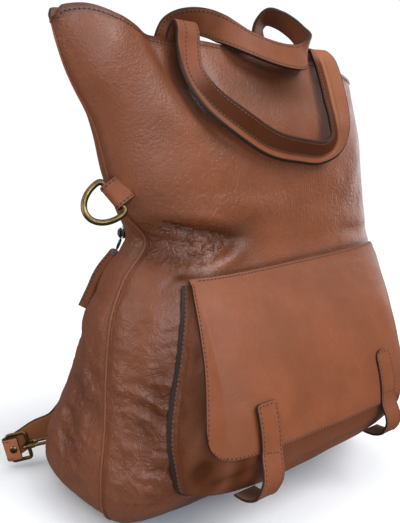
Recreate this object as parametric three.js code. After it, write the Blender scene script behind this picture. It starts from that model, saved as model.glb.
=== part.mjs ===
// Convertible leather backpack with a bellows pocket, two handles and backpack straps.
// Millimetres, +Z up. The front faces -Y, the wearer's back is at +Y, the floor is z = 0.
import * as THREE from 'three';

// Leather, hardware and clearances
const WALL = 2;
const STRAP_THICK = 3;
const GAP = 0.3;
const SEAT = 0.6;
const SEAM = GAP / 2;
const BAR_PLAY = 0.8;
const LONGEST_REACH = 30;
const MOUTH_Y = 15;

// Straps
const HANDLE_WIDE = 25;
const CLOSURE_WIDE = 25;
const SHOULDER_WIDE = 25;
const TAB_WIDE = 24;
const BASE_TAB_WIDE = 7.5;

// Rings and hooks
const RING_WIRE = 2.7;
const RING_HALF = 17.2;
const RING_DEEP = 28;
const EYE_WIRE = 2;
const EYE_WIDE = 21;
const EYE_TALL = 29;
const HOOK_WIRE = 1.8;
const HOOK_LONG = 33.5;
const HOOK_WIDE = 13;
const HOOK_CORNER = 2.2;

// Heights of the bag
const RIM = 436;
const SLEEVE = 312;
const POCKET_TOP = 224;
const FLAP_LOW = 90;
const FLAP_TOP_LEFT = 229;
const FLAP_TOP_RIGHT = 240;
const FLAP_ROUND = 30;
const FLAP_ROUND_RIGHT = 46;
const FLAP_OFF = 1.5;
const FLAP_INSET = 4;
const FLAP_INSET_RIGHT = 6;
const FLAP_OVERHANG = 1.5;
const FLAP_SPREAD = 100;
const FLAP_FREE = 24;
const FLAP_FREE_TOP = 8;
const ZIP_AT = 262;

// The origin is the middle of the flat base
const BASE_MIDDLE = 62;

// Cross sections of the bag: half widths to the side seams, the seam's place and the two depths
const BODY = [
  { z: 0, left: 152, right: 158, seam: 17, front: 14, back: 113, square: 5.5, round: 2.6 },
  { z: 5, left: 165, right: 168, seam: 13.5, front: 22.5, back: 128.5, square: 6, round: 2.8 },
  { z: 14, left: 175, right: 176, seam: 8, front: 33, back: 142, square: 7, round: 2.9 },
  { z: 30, left: 181, right: 182, seam: 2, front: 45, back: 154, square: 7.5, round: 3 },
  { z: 52, left: 181, right: 185, seam: -4, front: 56, back: 156, square: 7, round: 2.9 },
  { z: 100, left: 173, right: 187, seam: 0, front: 64, back: 133, square: 6, round: 2.6 },
  { z: 150, left: 166, right: 190, seam: 6, front: 66, back: 106, square: 5, round: 2.4 },
  { z: 190, left: 159.5, right: 195, seam: 8, front: 64, back: 88, square: 4.4, round: 2.3 },
  { z: 225, left: 144, right: 197, seam: 9, front: 58, back: 71, square: 3.8, round: 2.2 },
  { z: 258, left: 120, right: 191, seam: 8, front: 50, back: 60, square: 3.4, round: 2.1 },
  { z: 285, left: 142, right: 188, seam: 10, front: 50, back: 53, square: 3, round: 2.1 },
  { z: 312, left: 155.5, right: 183, seam: 11, front: 52, back: 52, square: 3, round: 2.1 },
  { z: 355, left: 168, right: 180, seam: 12, front: 50, back: 48, square: 3, round: 2.1 },
  { z: 400, left: 193.5, right: 176, seam: 14, front: 38, back: 38, square: 3, round: 2.1 },
  { z: 436, left: 206, right: 175, seam: 15, front: 24, back: 28, square: 3, round: 2.1 },
];

// Rise of the rim across the bag, from the left corner to the right one
const RIM_RISE = [
  { z: -1, rise: 3 },
  { z: -0.97, rise: 13 },
  { z: -0.9, rise: 15 },
  { z: -0.77, rise: 8 },
  { z: -0.62, rise: 0 },
  { z: -0.3, rise: -3 },
  { z: 0.5, rise: -8 },
  { z: 1, rise: -20 },
];

// Main folds and swellings: place, direction of the crease, half length, half width and depth
const FOLDS = [
  { side: -1, x: -75, y: -36, z: 264, tx: 1, ty: -0.35, tz: -0.05, long: 62, wide: 9, deep: 7 },
  { side: -1, x: -85, y: -36, z: 246, tx: 1, ty: -0.4, tz: -0.15, long: 42, wide: 7, deep: 4 },
  { side: -1, x: -40, y: -44, z: 287, tx: 1, ty: -0.1, tz: 0, long: 80, wide: 13, deep: -5 },
  { side: -1, x: 125, y: -36, z: 255, tx: 1, ty: 0.4, tz: -0.05, long: 55, wide: 8, deep: 5 },
  { side: -1, x: -100, y: -20, z: 406, tx: 0.35, ty: -0.2, tz: -1, long: 60, wide: 18, deep: 9 },
  { side: -1, x: -165, y: -2, z: 428, tx: 0.2, ty: 0, tz: 1, long: 50, wide: 24, deep: -6 },
  { side: -1, x: -152, y: -38, z: 120, tx: 0.1, ty: 0, tz: 1, long: 45, wide: 9, deep: 4 },
  { side: 1, x: -168, y: 62, z: 118, tx: 0, ty: 1, tz: 0.3, long: 42, wide: 12, deep: 6 },
  { side: 1, x: -150, y: 58, z: 190, tx: 0, ty: 1, tz: -0.4, long: 36, wide: 18, deep: -4 },
  { side: 1, x: -110, y: 44, z: 259, tx: 1, ty: 1, tz: 0, long: 28, wide: 22, deep: -8 },
  { side: 1, x: 40, y: 56, z: 285, tx: 1, ty: 0, tz: 0.05, long: 90, wide: 12, deep: 4 },
];

// Cross sections of the bellows pocket in front of the panel
const POCKET = [
  { z: 46, left: 128, right: 146, depth: 0 },
  { z: 49, left: 136, right: 157, depth: 17 },
  { z: 54, left: 143, right: 165, depth: 27 },
  { z: 62, left: 146, right: 174, depth: 35 },
  { z: 75, left: 148.5, right: 179, depth: 41 },
  { z: 92, left: 150, right: 181, depth: 43 },
  { z: 110, left: 148, right: 182, depth: 42 },
  { z: 135, left: 142, right: 183, depth: 38 },
  { z: 160, left: 135, right: 184, depth: 31 },
  { z: 185, left: 129, right: 184, depth: 22 },
  { z: 205, left: 123.5, right: 183, depth: 13 },
  { z: 224, left: 117.5, right: 181, depth: 5 },
];

// Closure strap below the flap: distance out from the flap face and height
const LOOP = [
  { out: 2.5, z: 84 },
  { out: 6, z: 76 },
  { out: 7.5, z: 68 },
  { out: 6, z: 60 },
  { out: 2, z: 53 },
  { out: -6, z: 49.5 },
  { out: -14, z: 49 },
  { out: -20, z: 49.5 },
];
const CLOSURE_TOP = 131;
const CLOSURES = [
  { name: 'left', x: -84, lift: 2, curl: 1, lean: 0.3 },
  { name: 'right', x: 92, lift: 8, curl: 0.9, lean: 0.1 },
];

// Front handle: place, distance off the front panel or sewn inside it, direction across the strap
const FRONT_HANDLE = [
  { x: -88, z: 398, sewn: true, wx: 1, wy: 0, wz: 0 },
  { x: -88, z: 422, sewn: true, wx: 1, wy: 0, wz: 0 },
  { x: -88, z: 439, off: -7, wx: 1, wy: 0, wz: 0 },
  { x: -88, z: 447, off: 1, wx: 1, wy: 0, wz: 0 },
  { x: -89, z: 440, off: 7, wx: 1, wy: 0, wz: 0 },
  { x: -91, z: 425, off: 7, wx: 1, wy: -0.1, wz: 0 },
  { x: -92, z: 405, off: 8, wx: 1, wy: -0.2, wz: 0.1 },
  { x: -82, z: 382, off: 10, wx: 0.85, wy: -0.3, wz: 0.45 },
  { x: -56, z: 360, off: 12, wx: 0.5, wy: -0.4, wz: 0.75 },
  { x: -22, z: 344, off: 13, wx: 0.25, wy: -0.45, wz: 0.85 },
  { x: 18, z: 338, off: 13, wx: 0.05, wy: -0.5, wz: 0.85 },
  { x: 49, z: 337, off: 14, wx: -0.15, wy: -0.45, wz: 0.85 },
  { x: 70, z: 347, off: 15, wx: -0.5, wy: -0.1, wz: 0.8 },
  { x: 79.5, z: 366, off: 14, wx: -0.78, wy: 0.3, wz: 0.5 },
  { x: 84, z: 388, off: 13, wx: -0.82, wy: 0.45, wz: 0.2 },
  { x: 88, z: 414, off: 11, wx: -0.85, wy: 0.4, wz: 0.1 },
  { x: 90, z: 431, off: 8, wx: -0.95, wy: 0.25, wz: 0 },
  { x: 90, z: 440, off: 1.5, wx: -1, wy: 0, wz: 0 },
  { x: 90, z: 434, off: -6, wx: -1, wy: 0, wz: 0 },
  { x: 90, z: 418, sewn: true, wx: -1, wy: 0, wz: 0 },
  { x: 90, z: 396, sewn: true, wx: -1, wy: 0, wz: 0 },
];

// Back handle: it rises from the back of the mouth and falls forward over the front rim
const BACK_HANDLE = [
  { x: -72, z: 396, sewn: true, wx: -1, wy: 0, wz: 0 },
  { x: -73, z: 422, sewn: true, wx: -1, wy: 0, wz: 0 },
  { x: -76, y: 32, z: 441, wx: -1, wy: 0, wz: 0.1 },
  { x: -71, y: 27, z: 451, wx: -0.95, wy: 0.1, wz: 0.3 },
  { x: -61, y: 17, z: 455, wx: -0.8, wy: 0.2, wz: 0.6 },
  { x: -50, y: 3, z: 452, wx: -0.4, wy: 0.4, wz: 0.8 },
  { x: -41, y: -12, z: 444, wx: -0.15, wy: 0.45, wz: 0.9 },
  { x: -26, y: -24, z: 435, wx: 0.05, wy: 0.4, wz: 0.9 },
  { x: -2, y: -31, z: 428, wx: 0.1, wy: 0.35, wz: 0.92 },
  { x: 26, y: -31, z: 426, wx: 0.1, wy: 0.3, wz: 0.92 },
  { x: 51, y: -25, z: 430, wx: 0.15, wy: 0.1, wz: 0.9 },
  { x: 66, y: -17, z: 442, wx: 0.25, wy: -0.3, wz: 0.88 },
  { x: 73, y: -3, z: 452, wx: 0.27, wy: -0.58, wz: 0.76 },
  { x: 74, y: 10, z: 464, wx: 0.4, wy: -0.4, wz: 0.8 },
  { x: 68, y: 22, z: 471, wx: 0.6, wy: -0.1, wz: 0.8 },
  { x: 58, y: 30, z: 472, wx: 0.8, wy: 0.4, wz: 0.3 },
  { x: 51, y: 35, z: 463, wx: 0.9, wy: 0.4, wz: -0.05 },
  { x: 50, y: 34.5, z: 446, wx: 1, wy: 0.1, wz: -0.1 },
  { x: 52, z: 422, sewn: true, wx: 1, wy: 0, wz: 0 },
  { x: 53, z: 396, sewn: true, wx: 1, wy: 0, wz: 0 },
];

// Left shoulder strap from the upper back to the eye; the right one is its mirror image
const EYE_BAR = { x: -170, y: 188, z: 20 };
const EYE_RUN = { x: 0.72, y: -0.65, z: 0.24 };
const SHOULDER = [
  { x: -15, z: 398, off: 2.4, wx: -1, wz: 0 },
  { x: -20, z: 360, off: 2.6, wx: -1, wz: 0 },
  { x: -30, z: 312, off: 6, wx: -1, wz: 0.1 },
  { x: -44, z: 258, off: 22, wx: -1, wz: 0.2 },
  { x: -58, z: 205, off: 24, wx: -1, wz: 0.2 },
  { x: -74, z: 150, off: 20, wx: -1, wz: 0.25 },
  { x: -90, z: 105, off: 16, wx: -1, wz: 0.4 },
  { x: -104, z: 72, off: 15, wx: -0.8, wz: 0.7 },
  { x: -120, z: 43, off: 25, wx: -0.5, wz: 0.9 },
  { x: -139, z: 34, off: 38, wx: -0.3, wz: 1 },
];

// Zip pull hanging from the slider at the left end of the zip
const PULL = [
  { x: -118, y: 62, z: 240, wx: 0.5, wy: -0.53, wz: -0.44 },
  { x: -127, y: 72, z: 224, wx: 0.5, wy: -0.53, wz: -0.44 },
  { x: -133, y: 78.5, z: 206, wx: 0.5, wy: -0.53, wz: -0.44 },
  { x: -139, y: 84, z: 189, wx: 0.5, wy: -0.53, wz: -0.44 },
];
const PULL_WIDE = 10;

// Side rings: middle of the straight bar, the bar's direction and the way the ring hangs
const SIDE_RINGS = [
  { name: 'left', x: -157, y: 4, z: 300, bx: 0.387, by: -0.535, bz: -0.751, ox: -0.745, oy: 0.298, oz: -0.596 },
  { name: 'right', x: 195.5, y: 21, z: 300, bx: 0.1, by: 0.5, bz: 0.86, ox: 0.62, oy: 0.65, oz: -0.45 },
];

// Colours
const LEATHER = { color: 0x8a5238, roughness: 0.55, metalness: 0 };
const STRAP_LEATHER = { color: 0x84492f, roughness: 0.5, metalness: 0 };
const BRASS = { color: 0x8a713f, roughness: 0.35, metalness: 0.9 };
const DARK_METAL = { color: 0x4a4744, roughness: 0.35, metalness: 0.9 };
const TAPE = { color: 0x3a241b, roughness: 0.85, metalness: 0 };

const backpack = new THREE.Group();
backpack.name = 'backpack';
const bag = new THREE.Group();
bag.position.y = -BASE_MIDDLE;
backpack.add(bag);

function add(name, geometry, look) {
  const mesh = new THREE.Mesh(geometry, new THREE.MeshStandardMaterial(look));
  mesh.name = name;
  bag.add(mesh);
  return mesh;
}

// Smooth value of one table column at a height, without overshoot between rows
function ease(table, column, z) {
  const last = table.length - 1;
  const slope = (i) => (table[i + 1][column] - table[i][column]) / (table[i + 1].z - table[i].z);
  const tangent = (i) => {
    if (i === 0) return slope(0);
    if (i === last) return slope(last - 1);
    const before = slope(i - 1);
    const after = slope(i);
    return before * after <= 0 ? 0 : (2 * before * after) / (before + after);
  };
  const at = Math.min(Math.max(z, table[0].z), table[last].z);
  let i = 0;
  while (i < last - 1 && at > table[i + 1].z) i += 1;
  const step = table[i + 1].z - table[i].z;
  const t = (at - table[i].z) / step;
  const rest = 1 - t;
  return (
    rest * rest * (1 + 2 * t) * table[i][column] +
    t * t * (3 - 2 * t) * table[i + 1][column] +
    t * rest * rest * step * tangent(i) -
    t * t * rest * step * tangent(i + 1)
  );
}

// Bulge of a section at a share u of its half width
function bulge(u, square, round) {
  const share = Math.min(1, Math.abs(u));
  return Math.pow(Math.max(0, 1 - Math.pow(share, square)), 1 / round);
}

function halfWidth(x, z) {
  return x < 0 ? ease(BODY, 'left', z) : ease(BODY, 'right', z);
}

// Smooth outer face of the bag, side -1 for the front and +1 for the back
function bodyY(side, x, z) {
  const depth = ease(BODY, side < 0 ? 'front' : 'back', z);
  const u = x / halfWidth(x, z);
  const swell = bulge(u, ease(BODY, 'square', z), ease(BODY, 'round', z));
  return ease(BODY, 'seam', z) + side * depth * swell;
}

function pocketY(x, z) {
  const half = ease(POCKET, x < 0 ? 'left' : 'right', z);
  const swell = x < 0 ? bulge(x / half, 6, 2.6) : bulge(x / half, 3, 2.2);
  return bodyY(-1, x, z) - SEAT - ease(POCKET, 'depth', z) * swell;
}

// Face that the flap lies on: the pocket, then the panel above it
function flapSeat(x, z) {
  if (z <= POCKET_TOP) return pocketY(x, z);
  const over = Math.exp(-(z - POCKET_TOP) / 7);
  const step = pocketY(x, POCKET_TOP) - bodyY(-1, x, POCKET_TOP);
  return bodyY(-1, x, z) + step * over;
}

// Normals of a grid of points, rows first
function gridNormals(grid) {
  const rows = grid.length - 1;
  const columns = grid[0].length - 1;
  return grid.map((row, i) =>
    row.map((point, j) => {
      const up = grid[Math.min(i + 1, rows)][j].clone().sub(grid[Math.max(i - 1, 0)][j]);
      const across = row[Math.min(j + 1, columns)].clone().sub(row[Math.max(j - 1, 0)]);
      return up.cross(across).normalize();
    })
  );
}

// Closed leather sheet between two grids of points
function closedSheet(face, under) {
  const rows = face.length;
  const columns = face[0].length;
  const positions = [];
  for (const grid of [face, under]) {
    for (const row of grid) {
      for (const p of row) positions.push(p.x, p.y, p.z);
    }
  }
  const top = (i, j) => i * columns + j;
  const low = (i, j) => rows * columns + i * columns + j;
  const index = [];
  const quad = (a, b, c, d) => index.push(a, b, c, a, c, d);
  for (let i = 0; i < rows - 1; i += 1) {
    for (let j = 0; j < columns - 1; j += 1) {
      quad(top(i, j), top(i + 1, j), top(i + 1, j + 1), top(i, j + 1));
      quad(low(i, j), low(i, j + 1), low(i + 1, j + 1), low(i + 1, j));
    }
  }
  for (let i = 0; i < rows - 1; i += 1) {
    const end = columns - 1;
    quad(top(i + 1, 0), top(i, 0), low(i, 0), low(i + 1, 0));
    quad(top(i, end), top(i + 1, end), low(i + 1, end), low(i, end));
  }
  for (let j = 0; j < columns - 1; j += 1) {
    const end = rows - 1;
    quad(top(0, j), top(0, j + 1), low(0, j + 1), low(0, j));
    quad(top(end, j + 1), top(end, j), low(end, j), low(end, j + 1));
  }
  const geometry = new THREE.BufferGeometry();
  geometry.setAttribute('position', new THREE.Float32BufferAttribute(positions, 3));
  geometry.setIndex(index);
  geometry.computeVertexNormals();
  return geometry;
}

// Sheet thickened to one side: the grid is the face that its normals point out of
function oneSided(grid, thick, mend, turn) {
  const normals = gridNormals(grid);
  const under = grid.map((row, i) =>
    row.map((point, j) => {
      const normal = turn ? turn(normals[i][j], i, j) : normals[i][j];
      const moved = point.clone().addScaledVector(normal, -thick);
      return mend ? mend(moved, i, j) : moved;
    })
  );
  return closedSheet(grid, under);
}

// Strap thickened equally to both sides of a grid
function twoSided(grid, thick) {
  const normals = gridNormals(grid);
  const shift = (sign) =>
    grid.map((row, i) => row.map((p, j) => p.clone().addScaledVector(normals[i][j], sign * thick * 0.5)));
  return closedSheet(shift(1), shift(-1));
}

// Smooth strap route through table rows with a direction across the strap
function strapRoute(rows) {
  const middle = new THREE.CatmullRomCurve3(rows.map((r) => new THREE.Vector3(r.x, r.y, r.z)));
  const spans = rows.length - 1;
  return (t) => {
    const centre = middle.getPoint(t);
    const along = middle.getTangent(t);
    const place = Math.min(t * spans, spans - 1e-6);
    const i = Math.floor(place);
    const mix = place - i;
    const a = rows[i];
    const b = rows[i + 1];
    const across = new THREE.Vector3(
      a.wx + (b.wx - a.wx) * mix,
      a.wy + (b.wy - a.wy) * mix,
      a.wz + (b.wz - a.wz) * mix
    );
    across.addScaledVector(along, -across.dot(along)).normalize();
    return { centre, across, out: along.clone().cross(across) };
  };
}

function strap(route, wide, thick, stations) {
  const grid = [];
  for (let i = 0; i <= stations; i += 1) {
    const { centre, across } = route(i / stations);
    const row = [-0.5, 0.5].map((share) => centre.clone().addScaledVector(across, share * wide));
    grid.push(row);
  }
  return twoSided(grid, thick);
}

// Closed ring of round wire along a flat outline, in its own plane
function wireRing(outline, radius, steps, sides) {
  const centres = outline.getSpacedPoints(steps).slice(0, steps);
  const positions = [];
  for (let i = 0; i < steps; i += 1) {
    const ahead = centres[(i + 1) % steps];
    const behind = centres[(i + steps - 1) % steps];
    const run = ahead.clone().sub(behind).normalize();
    for (let k = 0; k < sides; k += 1) {
      const turn = (2 * Math.PI * k) / sides;
      const flat = radius * Math.cos(turn);
      positions.push(centres[i].x + run.y * flat, centres[i].y - run.x * flat, radius * Math.sin(turn));
    }
  }
  const index = [];
  for (let i = 0; i < steps; i += 1) {
    for (let k = 0; k < sides; k += 1) {
      const a = i * sides + k;
      const b = ((i + 1) % steps) * sides + k;
      const c = ((i + 1) % steps) * sides + ((k + 1) % sides);
      const d = i * sides + ((k + 1) % sides);
      index.push(a, b, c, a, c, d);
    }
  }
  const geometry = new THREE.BufferGeometry();
  geometry.setAttribute('position', new THREE.Float32BufferAttribute(positions, 3));
  geometry.setIndex(index);
  geometry.computeVertexNormals();
  return geometry;
}

function roundedFrame(wide, tall, corner) {
  const path = new THREE.Path();
  const x = wide / 2;
  const y = tall / 2;
  path.moveTo(-x + corner, -y);
  path.lineTo(x - corner, -y);
  path.absarc(x - corner, -y + corner, corner, -Math.PI / 2, 0, false);
  path.lineTo(x, y - corner);
  path.absarc(x - corner, y - corner, corner, 0, Math.PI / 2, false);
  path.lineTo(-x + corner, y);
  path.absarc(-x + corner, y - corner, corner, Math.PI / 2, Math.PI, false);
  path.lineTo(-x, -y + corner);
  path.absarc(-x + corner, -y + corner, corner, Math.PI, Math.PI * 1.5, false);
  return path;
}

// D ring outline: the straight bar lies on the local X axis
function ringOutline() {
  const path = new THREE.Path();
  path.moveTo(-RING_HALF + 4, 0);
  path.lineTo(RING_HALF - 4, 0);
  path.quadraticCurveTo(RING_HALF, 0, RING_HALF, 5);
  path.bezierCurveTo(RING_HALF, 17, 10, RING_DEEP, 0, RING_DEEP);
  path.bezierCurveTo(-10, RING_DEEP, -RING_HALF, 17, -RING_HALF, 5);
  path.quadraticCurveTo(-RING_HALF, 0, -RING_HALF + 4, 0);
  return path;
}

function basis(x, y, origin) {
  const side = x.clone().normalize();
  const up = y.clone().addScaledVector(side, -y.dot(side)).normalize();
  const face = side.clone().cross(up);
  return new THREE.Matrix4().makeBasis(side, up, face).setPosition(origin);
}

// Distance from a point to some pieces along a direction
const probe = new THREE.Raycaster();
function reachTo(pieces, from, direction) {
  probe.set(from, direction);
  const hits = probe.intersectObjects(pieces, false);
  return hits.length > 0 ? hits[0].distance : LONGEST_REACH;
}

// Leather loop around a bar: two legs that run back to the bag and end on its surface
function loopTab(frame, wide, wire, thick, columns) {
  const radius = wire + BAR_PLAY + thick / 2;
  const arc = 8;
  const grid = [];
  const place = (x, y, face) => new THREE.Vector3(x, y, face).applyMatrix4(frame);
  const back = new THREE.Vector3(0, -1, 0).transformDirection(frame);
  const foot = (x, face) => {
    const reaches = [-0.6, 0.6].map((side) => reachTo([frontPanel, backPanel], place(x, 0, face + side * thick), back));
    return SEAT - Math.min(...reaches);
  };
  const leg = (face, shares) => {
    for (const share of shares) {
      const row = [];
      for (let j = 0; j <= columns; j += 1) {
        const x = (j / columns - 0.5) * wide;
        row.push(place(x, foot(x, face) * share, face));
      }
      grid.push(row);
    }
  };
  leg(-radius, [1, 0.5]);
  for (let k = 0; k <= arc; k += 1) {
    const turn = Math.PI * (k / arc - 0.5);
    const row = [];
    for (let j = 0; j <= columns; j += 1) {
      row.push(place((j / columns - 0.5) * wide, radius * Math.cos(turn), radius * Math.sin(turn)));
    }
    grid.push(row);
  }
  leg(radius, [0.5, 1]);
  return twoSided(grid, thick);
}

// Bag panels
const COLUMNS = 22;
const FLOOR = [
  { half: 0.9, depth: 0 },
  { half: 0.95, depth: 0.5 },
];
const HEIGHTS = [
  0, 5, 14, 30, 52, 76, 100, 125, 150, 170, 190, 208, 225, 238, 247, 254, 260, 266, 273, 285, 298, 312, 333,
  355, 378, 407, 436,
];

function foldShift(side, p) {
  let shift = 0;
  for (const fold of FOLDS) {
    if (fold.side !== side) continue;
    const run = new THREE.Vector3(fold.tx, fold.ty, fold.tz).normalize();
    const away = p.clone().sub(new THREE.Vector3(fold.x, fold.y, fold.z));
    const along = away.dot(run);
    const off = away.lengthSq() - along * along;
    shift += fold.deep * Math.exp(-((along / fold.long) ** 2) - off / fold.wide ** 2);
  }
  return shift;
}

function panel(side) {
  const grid = [];
  const share = (j) => -Math.cos((Math.PI * j) / COLUMNS);
  const seamY = (z) => ease(BODY, 'seam', z) + side * SEAM;
  const pointAt = (j, z, half, depth) => {
    const u = share(j);
    const wide = u < 0 ? ease(BODY, 'left', z) : ease(BODY, 'right', z);
    const deep = ease(BODY, side < 0 ? 'front' : 'back', z) * depth;
    const swell = j === 0 || j === COLUMNS ? 0 : bulge(u, ease(BODY, 'square', z), ease(BODY, 'round', z));
    const lift = z > SLEEVE ? ((z - SLEEVE) / (RIM - SLEEVE)) * ease(RIM_RISE, 'rise', u) : 0;
    return new THREE.Vector3(u * wide * half, seamY(z) + side * deep * swell, z + lift);
  };
  for (const row of FLOOR) {
    grid.push(Array.from({ length: COLUMNS + 1 }, (_, j) => pointAt(j, 0, row.half, row.depth)));
  }
  for (const z of HEIGHTS) {
    grid.push(Array.from({ length: COLUMNS + 1 }, (_, j) => pointAt(j, z, 1, 1)));
  }
  const normals = gridNormals(grid);
  for (let i = FLOOR.length + 2; i < grid.length; i += 1) {
    for (let j = 1; j < COLUMNS; j += 1) {
      const fade = Math.min(1, (1 - Math.abs(share(j))) / 0.05);
      grid[i][j].addScaledVector(normals[i][j], -side * fade * foldShift(side, grid[i][j]));
    }
  }
  const turned = side < 0 ? grid.map((row) => row.slice().reverse()) : grid;
  const alongSeam = (normal, i, j) => {
    const edge = j === 0 || j === COLUMNS || i === 0;
    if (edge) normal.setY(0).normalize();
    return normal;
  };
  return oneSided(turned, WALL, null, alongSeam);
}

const frontPanel = add('front_panel', panel(-1), LEATHER);
const backPanel = add('back_panel', panel(1), LEATHER);

// Bellows pocket; its lower edge hangs a little on the left and rises to the right
const POCKET_COLUMNS = 18;
const SAG = { low: 46, high: 92, x: -50, wide: 60, deep: 6, rise: 5, from: 20, to: 150 };

function pocketSag(x, z) {
  const fade = Math.min(1, Math.max(0, (SAG.high - z) / (SAG.high - SAG.low)));
  const right = THREE.MathUtils.smoothstep(x, SAG.from, SAG.to);
  return fade * (SAG.rise * right - SAG.deep * Math.exp(-(((x - SAG.x) / SAG.wide) ** 2)));
}

function pocketBody() {
  const grid = POCKET.map(({ z, left, right }) =>
    Array.from({ length: POCKET_COLUMNS + 1 }, (_, j) => {
      const u = Math.cos((Math.PI * j) / POCKET_COLUMNS);
      const x = u < 0 ? u * left : u * right;
      const hung = z + pocketSag(x, z);
      return new THREE.Vector3(x, pocketY(x, z) + bodyY(-1, x, hung) - bodyY(-1, x, z), hung);
    })
  );
  const clear = (p) => {
    p.y = Math.min(p.y, bodyY(-1, p.x, p.z) - SEAT);
    return p;
  };
  return oneSided(grid, WALL, clear);
}

add('pocket_body', pocketBody(), LEATHER);

// Flap over the pocket, thickened outward from the face that it lies on
const FLAP_COLUMNS = 16;
const FLAP_ROWS = 8;

function flapEdge(z) {
  const down = Math.min(1, (POCKET_TOP - z) / FLAP_SPREAD);
  const pocketLeft = ease(POCKET, 'left', z);
  return {
    left: FLAP_INSET - pocketLeft - FLAP_OVERHANG * down,
    right: ease(POCKET, 'right', z) - FLAP_INSET_RIGHT,
    rest: FLAP_FREE_TOP + (FLAP_FREE - FLAP_FREE_TOP) * down - pocketLeft,
  };
}

function flapPoint(across, down) {
  const u = -Math.cos(Math.PI * across);
  const top = FLAP_TOP_LEFT + (FLAP_TOP_RIGHT - FLAP_TOP_LEFT) * across;
  const low = flapEdge(FLAP_LOW);
  const guess = u < 0 ? -u * low.left : u * low.right;
  const radius = u < 0 ? FLAP_ROUND : FLAP_ROUND_RIGHT;
  const nearEdge = u < 0 ? guess - low.left : low.right - guess;
  const corner = Math.max(0, radius - nearEdge);
  const rise = radius - Math.sqrt(Math.max(0, radius ** 2 - corner ** 2));
  const z = top + (FLAP_LOW + rise - top) * down;
  const beside = Math.min(z, POCKET_TOP);
  const edge = flapEdge(beside);
  const x = u < 0 ? -u * edge.left : u * edge.right;
  return new THREE.Vector3(x, flapSeat(Math.max(x, edge.rest), z) - FLAP_OFF, z);
}

function pocketFlap() {
  const grid = [];
  for (let i = 0; i <= FLAP_ROWS; i += 1) {
    grid.push(Array.from({ length: FLAP_COLUMNS + 1 }, (_, j) => flapPoint(j / FLAP_COLUMNS, 1 - i / FLAP_ROWS)));
  }
  return oneSided(grid, WALL);
}

add('pocket_flap', pocketFlap(), LEATHER);

// Closure straps: sewn on the flap, then a free loop that curls under the pocket
function closureStrap({ x: middle, lift, curl, lean }) {
  const face = (x, z) => flapSeat(x, z) - FLAP_OFF - WALL * 1.1 - SEAT;
  const rows = [];
  for (const z of [CLOSURE_TOP, 117, 103, FLAP_LOW + 1]) rows.push({ z, out: 0, sewn: true });
  for (const row of LOOP) {
    const out = row.out > 0 ? row.out : row.out * curl;
    rows.push({ out, z: row.z + (lift * (FLAP_LOW - row.z)) / 40, sewn: false });
  }
  const grid = rows.map(({ z, out, sewn }) =>
    [-0.5, 0, 0.5].map((share) => {
      const x = middle + share * CLOSURE_WIDE;
      const y = sewn ? face(x, z) : face(x, FLAP_LOW + 1) - out;
      return new THREE.Vector3(x - lean * Math.max(0, FLAP_LOW - z), y, z);
    })
  );
  return oneSided(grid.reverse(), WALL);
}

for (const closure of CLOSURES) {
  add(`closure_strap_${closure.name}`, closureStrap(closure), STRAP_LEATHER);
}

// Handles, measured off the folded front panel
function foldedFront(x, z) {
  const y = bodyY(-1, x, z);
  return y + foldShift(-1, new THREE.Vector3(x, y, z));
}

// Middle of a handle's foot, sewn flat inside a panel and clear of it across the whole width
function sewnInside(side, x, z) {
  const towards = new THREE.Vector3(0, side, 0);
  const shares = [-0.5, -0.25, 0, 0.25, 0.5];
  const reaches = shares.map((share) =>
    reachTo([side < 0 ? frontPanel : backPanel], new THREE.Vector3(x + share * HANDLE_WIDE, MOUTH_Y, z), towards)
  );
  return MOUTH_Y + side * (Math.min(...reaches) - SEAT - STRAP_THICK / 2);
}

const frontHandle = FRONT_HANDLE.map((row) => ({
  ...row,
  y: row.sewn ? sewnInside(-1, row.x, row.z) : foldedFront(row.x, Math.min(row.z, RIM)) - row.off,
}));
const backHandle = BACK_HANDLE.map((row) => (row.sewn ? { ...row, y: sewnInside(1, row.x, row.z) } : row));
add('front_handle', strap(strapRoute(frontHandle), HANDLE_WIDE, STRAP_THICK, 40), STRAP_LEATHER);
add('back_handle', strap(strapRoute(backHandle), HANDLE_WIDE, STRAP_THICK, 34), STRAP_LEATHER);

// Side rings in their seam tabs
for (const ring of SIDE_RINGS) {
  const bar = new THREE.Vector3(ring.bx, ring.by, ring.bz);
  const out = new THREE.Vector3(ring.ox, ring.oy, ring.oz);
  const frame = basis(bar, out, new THREE.Vector3(ring.x, ring.y, ring.z));
  const wire = wireRing(ringOutline(), RING_WIRE, 28, 7);
  add(`side_ring_${ring.name}`, wire, BRASS).applyMatrix4(frame);
  add(`ring_tab_${ring.name}`, loopTab(frame, TAB_WIDE, RING_WIRE, WALL * 0.9, 3), STRAP_LEATHER);
}

// Back zip at the waist
const ZIP_HALF = 108;
const TAPE_TALL = 14;
const TAPE_THICK = 1.2;
const TAPE_OFF = 1.6;
const SLIDER_AT = -103;
const SLIDER_WIDE = 8;
const SLIDER_DEEP = 4.5;
const SLIDER_TALL = 10;
const LINK_RADIUS = 4.4;
const LINK_WIRE = 0.9;
const LINK_SWING = 3.5;
const PULL_SWING = 2.2;

function zipTape() {
  const columns = 16;
  const grid = [-0.5, 0, 0.5].map((share) =>
    Array.from({ length: columns + 1 }, (_, j) => {
      const x = -ZIP_HALF + (2 * ZIP_HALF * j) / columns;
      const z = ZIP_AT + share * TAPE_TALL;
      return new THREE.Vector3(x, bodyY(1, x, z), z);
    })
  );
  const normals = gridNormals(grid);
  const lifted = (off) =>
    grid.map((row, i) => row.map((p, j) => p.clone().addScaledVector(normals[i][j], off - foldShift(1, p))));
  return closedSheet(lifted(TAPE_OFF + TAPE_THICK), lifted(TAPE_OFF));
}

const tape = add('zip_tape', zipTape(), TAPE);

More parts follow.
